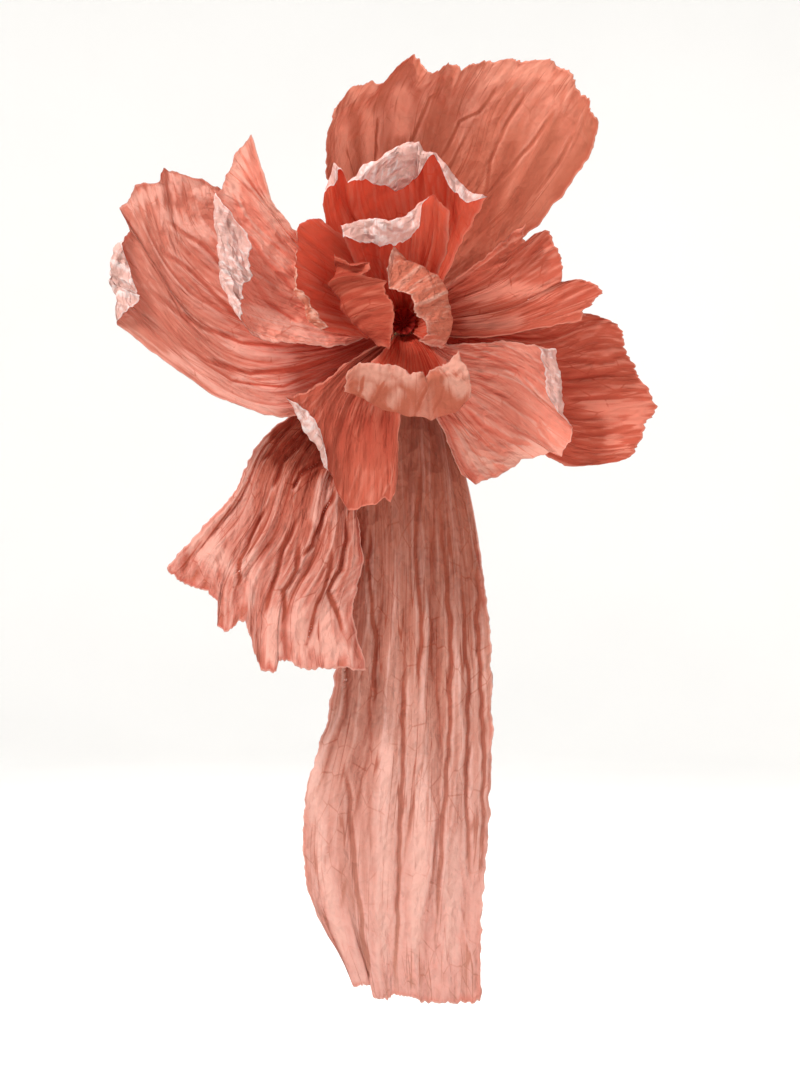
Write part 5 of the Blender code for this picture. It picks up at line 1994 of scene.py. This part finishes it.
                (0.13, -0.13, 0.31), (0.085, -0.175, 0.32), (0.02, -0.185, 0.32), (-0.045, -0.17, 0.32),
                (-0.1, -0.13, 0.31),
            ),
            (
                (0.135, -0.085, 0.365), (0.08, -0.11, 0.38), (0.025, -0.125, 0.385),
                (-0.04, -0.11, 0.38), (-0.095, -0.105, 0.36),
            ),
        ),
        rim=(
            (0.125, -0.12), (0.1, -0.13), (0.075, -0.125), (0.055, -0.125), (0.045, -0.135),
            (0.04, -0.125), (0.01, -0.125), (-0.005, -0.115), (-0.03, -0.11), (-0.055, -0.105),
            (-0.085, -0.105), (-0.105, -0.12),
        ),
        lip=(0.064, 0.044, 0.02, 0.014, 0.014, 0.018, 0.02),
        roll=(80, 90, 120, 120, 120, 120, 110),
        front=Tone.EMBER,
        reverse=Tone.HUSK,
        folding=Folding(
            folds=10,
            body=0.003,
            rim=0.001,
            wander=0.4,
            creases=14,
            crease=0.0012,
            ruffle=0.001,
            flap=0.0016,
            groove=0.002,
            groove_width=0.007,
            grooves=(
                ((-0.03, -0.12), (-0.045, -0.145), (-0.06, -0.165)),
                ((0.045, -0.13), (0.035, -0.15), (0.025, -0.18)),
                ((0.075, -0.13), (0.07, -0.155), (0.055, -0.175)),
                ((-0.07, -0.11), (-0.075, -0.135), (-0.085, -0.155)),
            ),
            pale=(
                ((-0.095, -0.115), (-0.05, -0.105), (-0.005, -0.115), (0.04, -0.125)),
                ((-0.085, -0.1), (-0.045, -0.115), (0, -0.13)),
                ((0.06, -0.115), (0.085, -0.095), (0.11, -0.09), (0.13, -0.115)),
                ((0.07, -0.115), (0.095, -0.13), (0.12, -0.15)),
                ((0, -0.13), (-0.015, -0.15), (-0.03, -0.175)),
                ((-0.055, -0.12), (-0.065, -0.14), (-0.08, -0.15)),
            ),
        ),
    ),
)



@dataclass(frozen=True)
class Rosette:
    """The pleated disc that closes the core's front end, pinched to a point in its middle."""

    pleats: int = 11
    depth: float = 0.0045
    profile: Line = ((0.006, 0.0), (0.011, 0.002), (0.016, 0.010), (0.0245, 0.027))
    rows: int = 26
    columns: int = 128
    node: str = "throat_rosette"

    def build(self, core: Core, paper: bpy.types.Material) -> bpy.types.Object:
        """Makes the disc and puts it on the core's end.

        Args:
            core: The core that it closes.
            paper: Its material.

        Returns:
            The finished piece.
        """
        marks = np.array(self.profile)
        wide = marks[-1, 0]
        seat = core.front() + core.fit + core.paper / 2 + self.depth * marks[0, 0] / wide
        radius = np.linspace(0.0004, wide, self.rows)
        lift = np.interp(radius, marks[:, 0], marks[:, 1])
        turn = np.linspace(0, 2 * math.pi, self.columns, endpoint=False)
        share = (radius / wide)[:, None]
        fold = zigzag(self.pleats * turn / (2 * math.pi))[None, :] * self.depth * share
        crumple = Grain(977).at(radius[:, None] / 0.007 + 9, 8 + 2.4 * np.cos(turn))
        rise = seat + lift[:, None] + fold + 0.0008 * crumple * share
        tears = Grain(979).at(3 + 2.6 * np.cos(turn), 7 + 2.6 * np.sin(turn))
        ragged = 1 + 0.06 * tears * share**2
        flat = [radius[:, None] * ragged * np.cos(turn), radius[:, None] * ragged * np.sin(turn)]
        half = core.paper / 2
        sheets = [np.stack([*flat, rise + side], -1) for side in (half, -half)]
        points = np.concatenate([world(side).reshape(-1, 3) for side in sheets])
        count = self.rows * self.columns
        faces = grid_faces(self.rows, self.columns, ring=True)[:, ::-1]
        rim = np.arange(count - self.columns, count)
        middle = np.arange(self.columns)
        edge = np.stack([np.roll(rim, -1), rim, rim + count, np.roll(rim, -1) + count], -1)
        pinch = np.stack([middle, np.roll(middle, -1), np.roll(middle, -1) + count, middle + count], -1)
        every = np.concatenate([faces, faces[:, ::-1] + count, edge, pinch])
        made = new_object(self.node + "_paper", points, every, (paper,))
        self.mark(made, radius, turn, fold)
        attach(made, "root")
        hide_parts(self.node)
        LOG.info("pinched %s: %d pleats", made.name, self.pleats)
        return made

    def mark(self, made: bpy.types.Object, radius: Grid, turn: Grid, fold: Grid) -> None:
        """Stores what the dye, the painted highlights and the painted shade follow on the mesh, and the
        places on the flat disc.

        Args:
            made: The disc's mesh object.
            radius: Distance of each row from the middle.
            turn: Bearing of each column in radians.
            fold: Heights of the pleats.
        """
        # The pleats' crests and valleys, which the material paints lighter as highlight and darker as
        # shade.
        crest = (fold / self.depth).ravel()
        reach = np.repeat(radius / radius[-1] * 0.3, len(turn))
        edge = np.repeat(radius[-1] - radius, len(turn)) + 0.01
        for name, front, back in (("reach", reach, reach), ("fold", crest, -crest), ("edge", edge, edge)):
            store(made, name, np.concatenate([front, back]))
        flat = np.stack([radius[:, None] * np.cos(turn), radius[:, None] * np.sin(turn)], -1).reshape(-1, 2)
        for name in ("Sheet", "Fan"):
            lay_flat(made, name, np.concatenate([flat, flat]))


@dataclass(frozen=True)
class Studio:
    """A pale round sweep, soft lights and the camera that the flower is seen by."""

    floor: float = -1.52
    reach: float = 9.0
    wall: float = 4.6
    bend: float = 2.2
    sides: int = 96
    paint: Colour = dye(246, 245, 243)
    eye: Point = (-0.006, -4.5, -0.404)
    lens: float = 75.9

    def sweep(self) -> bpy.types.Object:
        """Makes the floor, which curves up into a low round wall on every side.

        Returns:
            The stage, which isn't part of the flower.
        """
        turn = np.linspace(0, math.pi / 2, 14)
        flat = np.linspace(0.0002, self.reach - self.bend, 8)
        radius = np.concatenate([flat, self.reach - self.bend + self.bend * np.sin(turn[1:]), [self.reach]])
        rise = self.bend * (1 - np.cos(turn[1:]))
        height = np.concatenate([np.zeros_like(flat), rise, [self.wall]]) + self.floor
        around = np.linspace(0, 2 * math.pi, self.sides, endpoint=False)
        rings = np.stack(
            [
                radius[:, None] * np.cos(around),
                radius[:, None] * np.sin(around),
                height[:, None] + 0 * around,
            ],
            -1,
        )
        made = Recipe("studio_paint")
        place = made.node("TexCoord").outputs["Object"]
        paint = made.ramp(made.noise(place, 0.6, 2.0), ((0.2, dye(240, 239, 237)), (0.8, self.paint)))
        shader = made.node(
            "BsdfPrincipled",
            {"Base Color": paint, "Emission Color": paint},
            {"Roughness": 0.9, "Emission Strength": 0.1},
        )
        faces = grid_faces(len(radius), self.sides, ring=True)
        stage = new_object("studio_sweep", rings.reshape(-1, 3), faces, (made.finish(shader.outputs[0]),))
        return stage

    def lamp(self, name: str, place: Point, aim: Point, size: float, power: float) -> None:
        """Adds a square soft light.

        Args:
            name: The light's name.
            place: Where it is.
            aim: What it points at.
            size: Its side.
            power: Its power in watts.
        """
        light = bpy.data.lights.new(name, "AREA")
        light.shape, light.size, light.energy = "SQUARE", size, power
        holder = bpy.data.objects.new(name, light)
        holder.location = place
        way = np.array(aim) - np.array(place)
        flat = math.hypot(way[0], way[1])
        holder.rotation_euler = (math.atan2(flat, -way[2]), 0.0, math.atan2(way[1], way[0]) - math.pi / 2)
        bpy.context.scene.collection.objects.link(holder)

    def build(self) -> None:
        """Makes the stage, the lights and the camera."""
        self.sweep()
        self.lamp("key_light", (-2.1, -2.1, 2.7), (0.0, -0.1, -0.3), 0.8, 138.0)
        self.lamp("front_fill", (2.4, -4.4, 0.2), (0.0, -0.1, -0.5), 2.4, 34.0)
        self.lamp("rear_fill", (0.8, 4.0, 1.6), (0.0, 0.0, -0.4), 3.0, 40.0)
        self.lamp("top_wash", (0.0, 1.6, 5.2), (0.0, 2.2, 0.0), 5.0, 330.0)
        scene = bpy.context.scene
        sky = bpy.data.worlds.new("studio_air")
        sky.use_nodes = True
        air = sky.node_tree.nodes["Background"]
        air.inputs["Color"].default_value = (1.0, 0.99, 0.98, 1.0)
        air.inputs["Strength"].default_value = 0.4
        scene.world = sky
        scene.view_settings.view_transform = "Standard"
        view = bpy.data.cameras.new("photo_camera")
        view.lens, view.sensor_width, view.sensor_fit = self.lens, 36.0, "AUTO"
        holder = bpy.data.objects.new("photo_camera", view)
        holder.location = self.eye
        holder.rotation_euler = (math.pi / 2, 0.0, 0.0)
        scene.collection.objects.link(holder)
        scene.camera = holder
        LOG.info("set the stage")


def main() -> None:
    """Dresses the carried-over solids, then builds the flower from its core outwards and the studio."""
    core = Core()
    core.dress()
    wire = IRON_WIRE.dress("iron_wire_finish")
    for tie in TIES:
        tie.build(core, wire)
    papers = {tone: finish.dress("paper_" + tone.value) for tone, finish in PAPERS.items()}
    for petal in PETALS:
        petal.build(core, papers)
    Rosette().build(core, papers[Tone.THROAT])
    Studio().build()


if __name__ == "__main__":
    logging.basicConfig(level=logging.INFO, format="%(name)s: %(message)s")
    main()
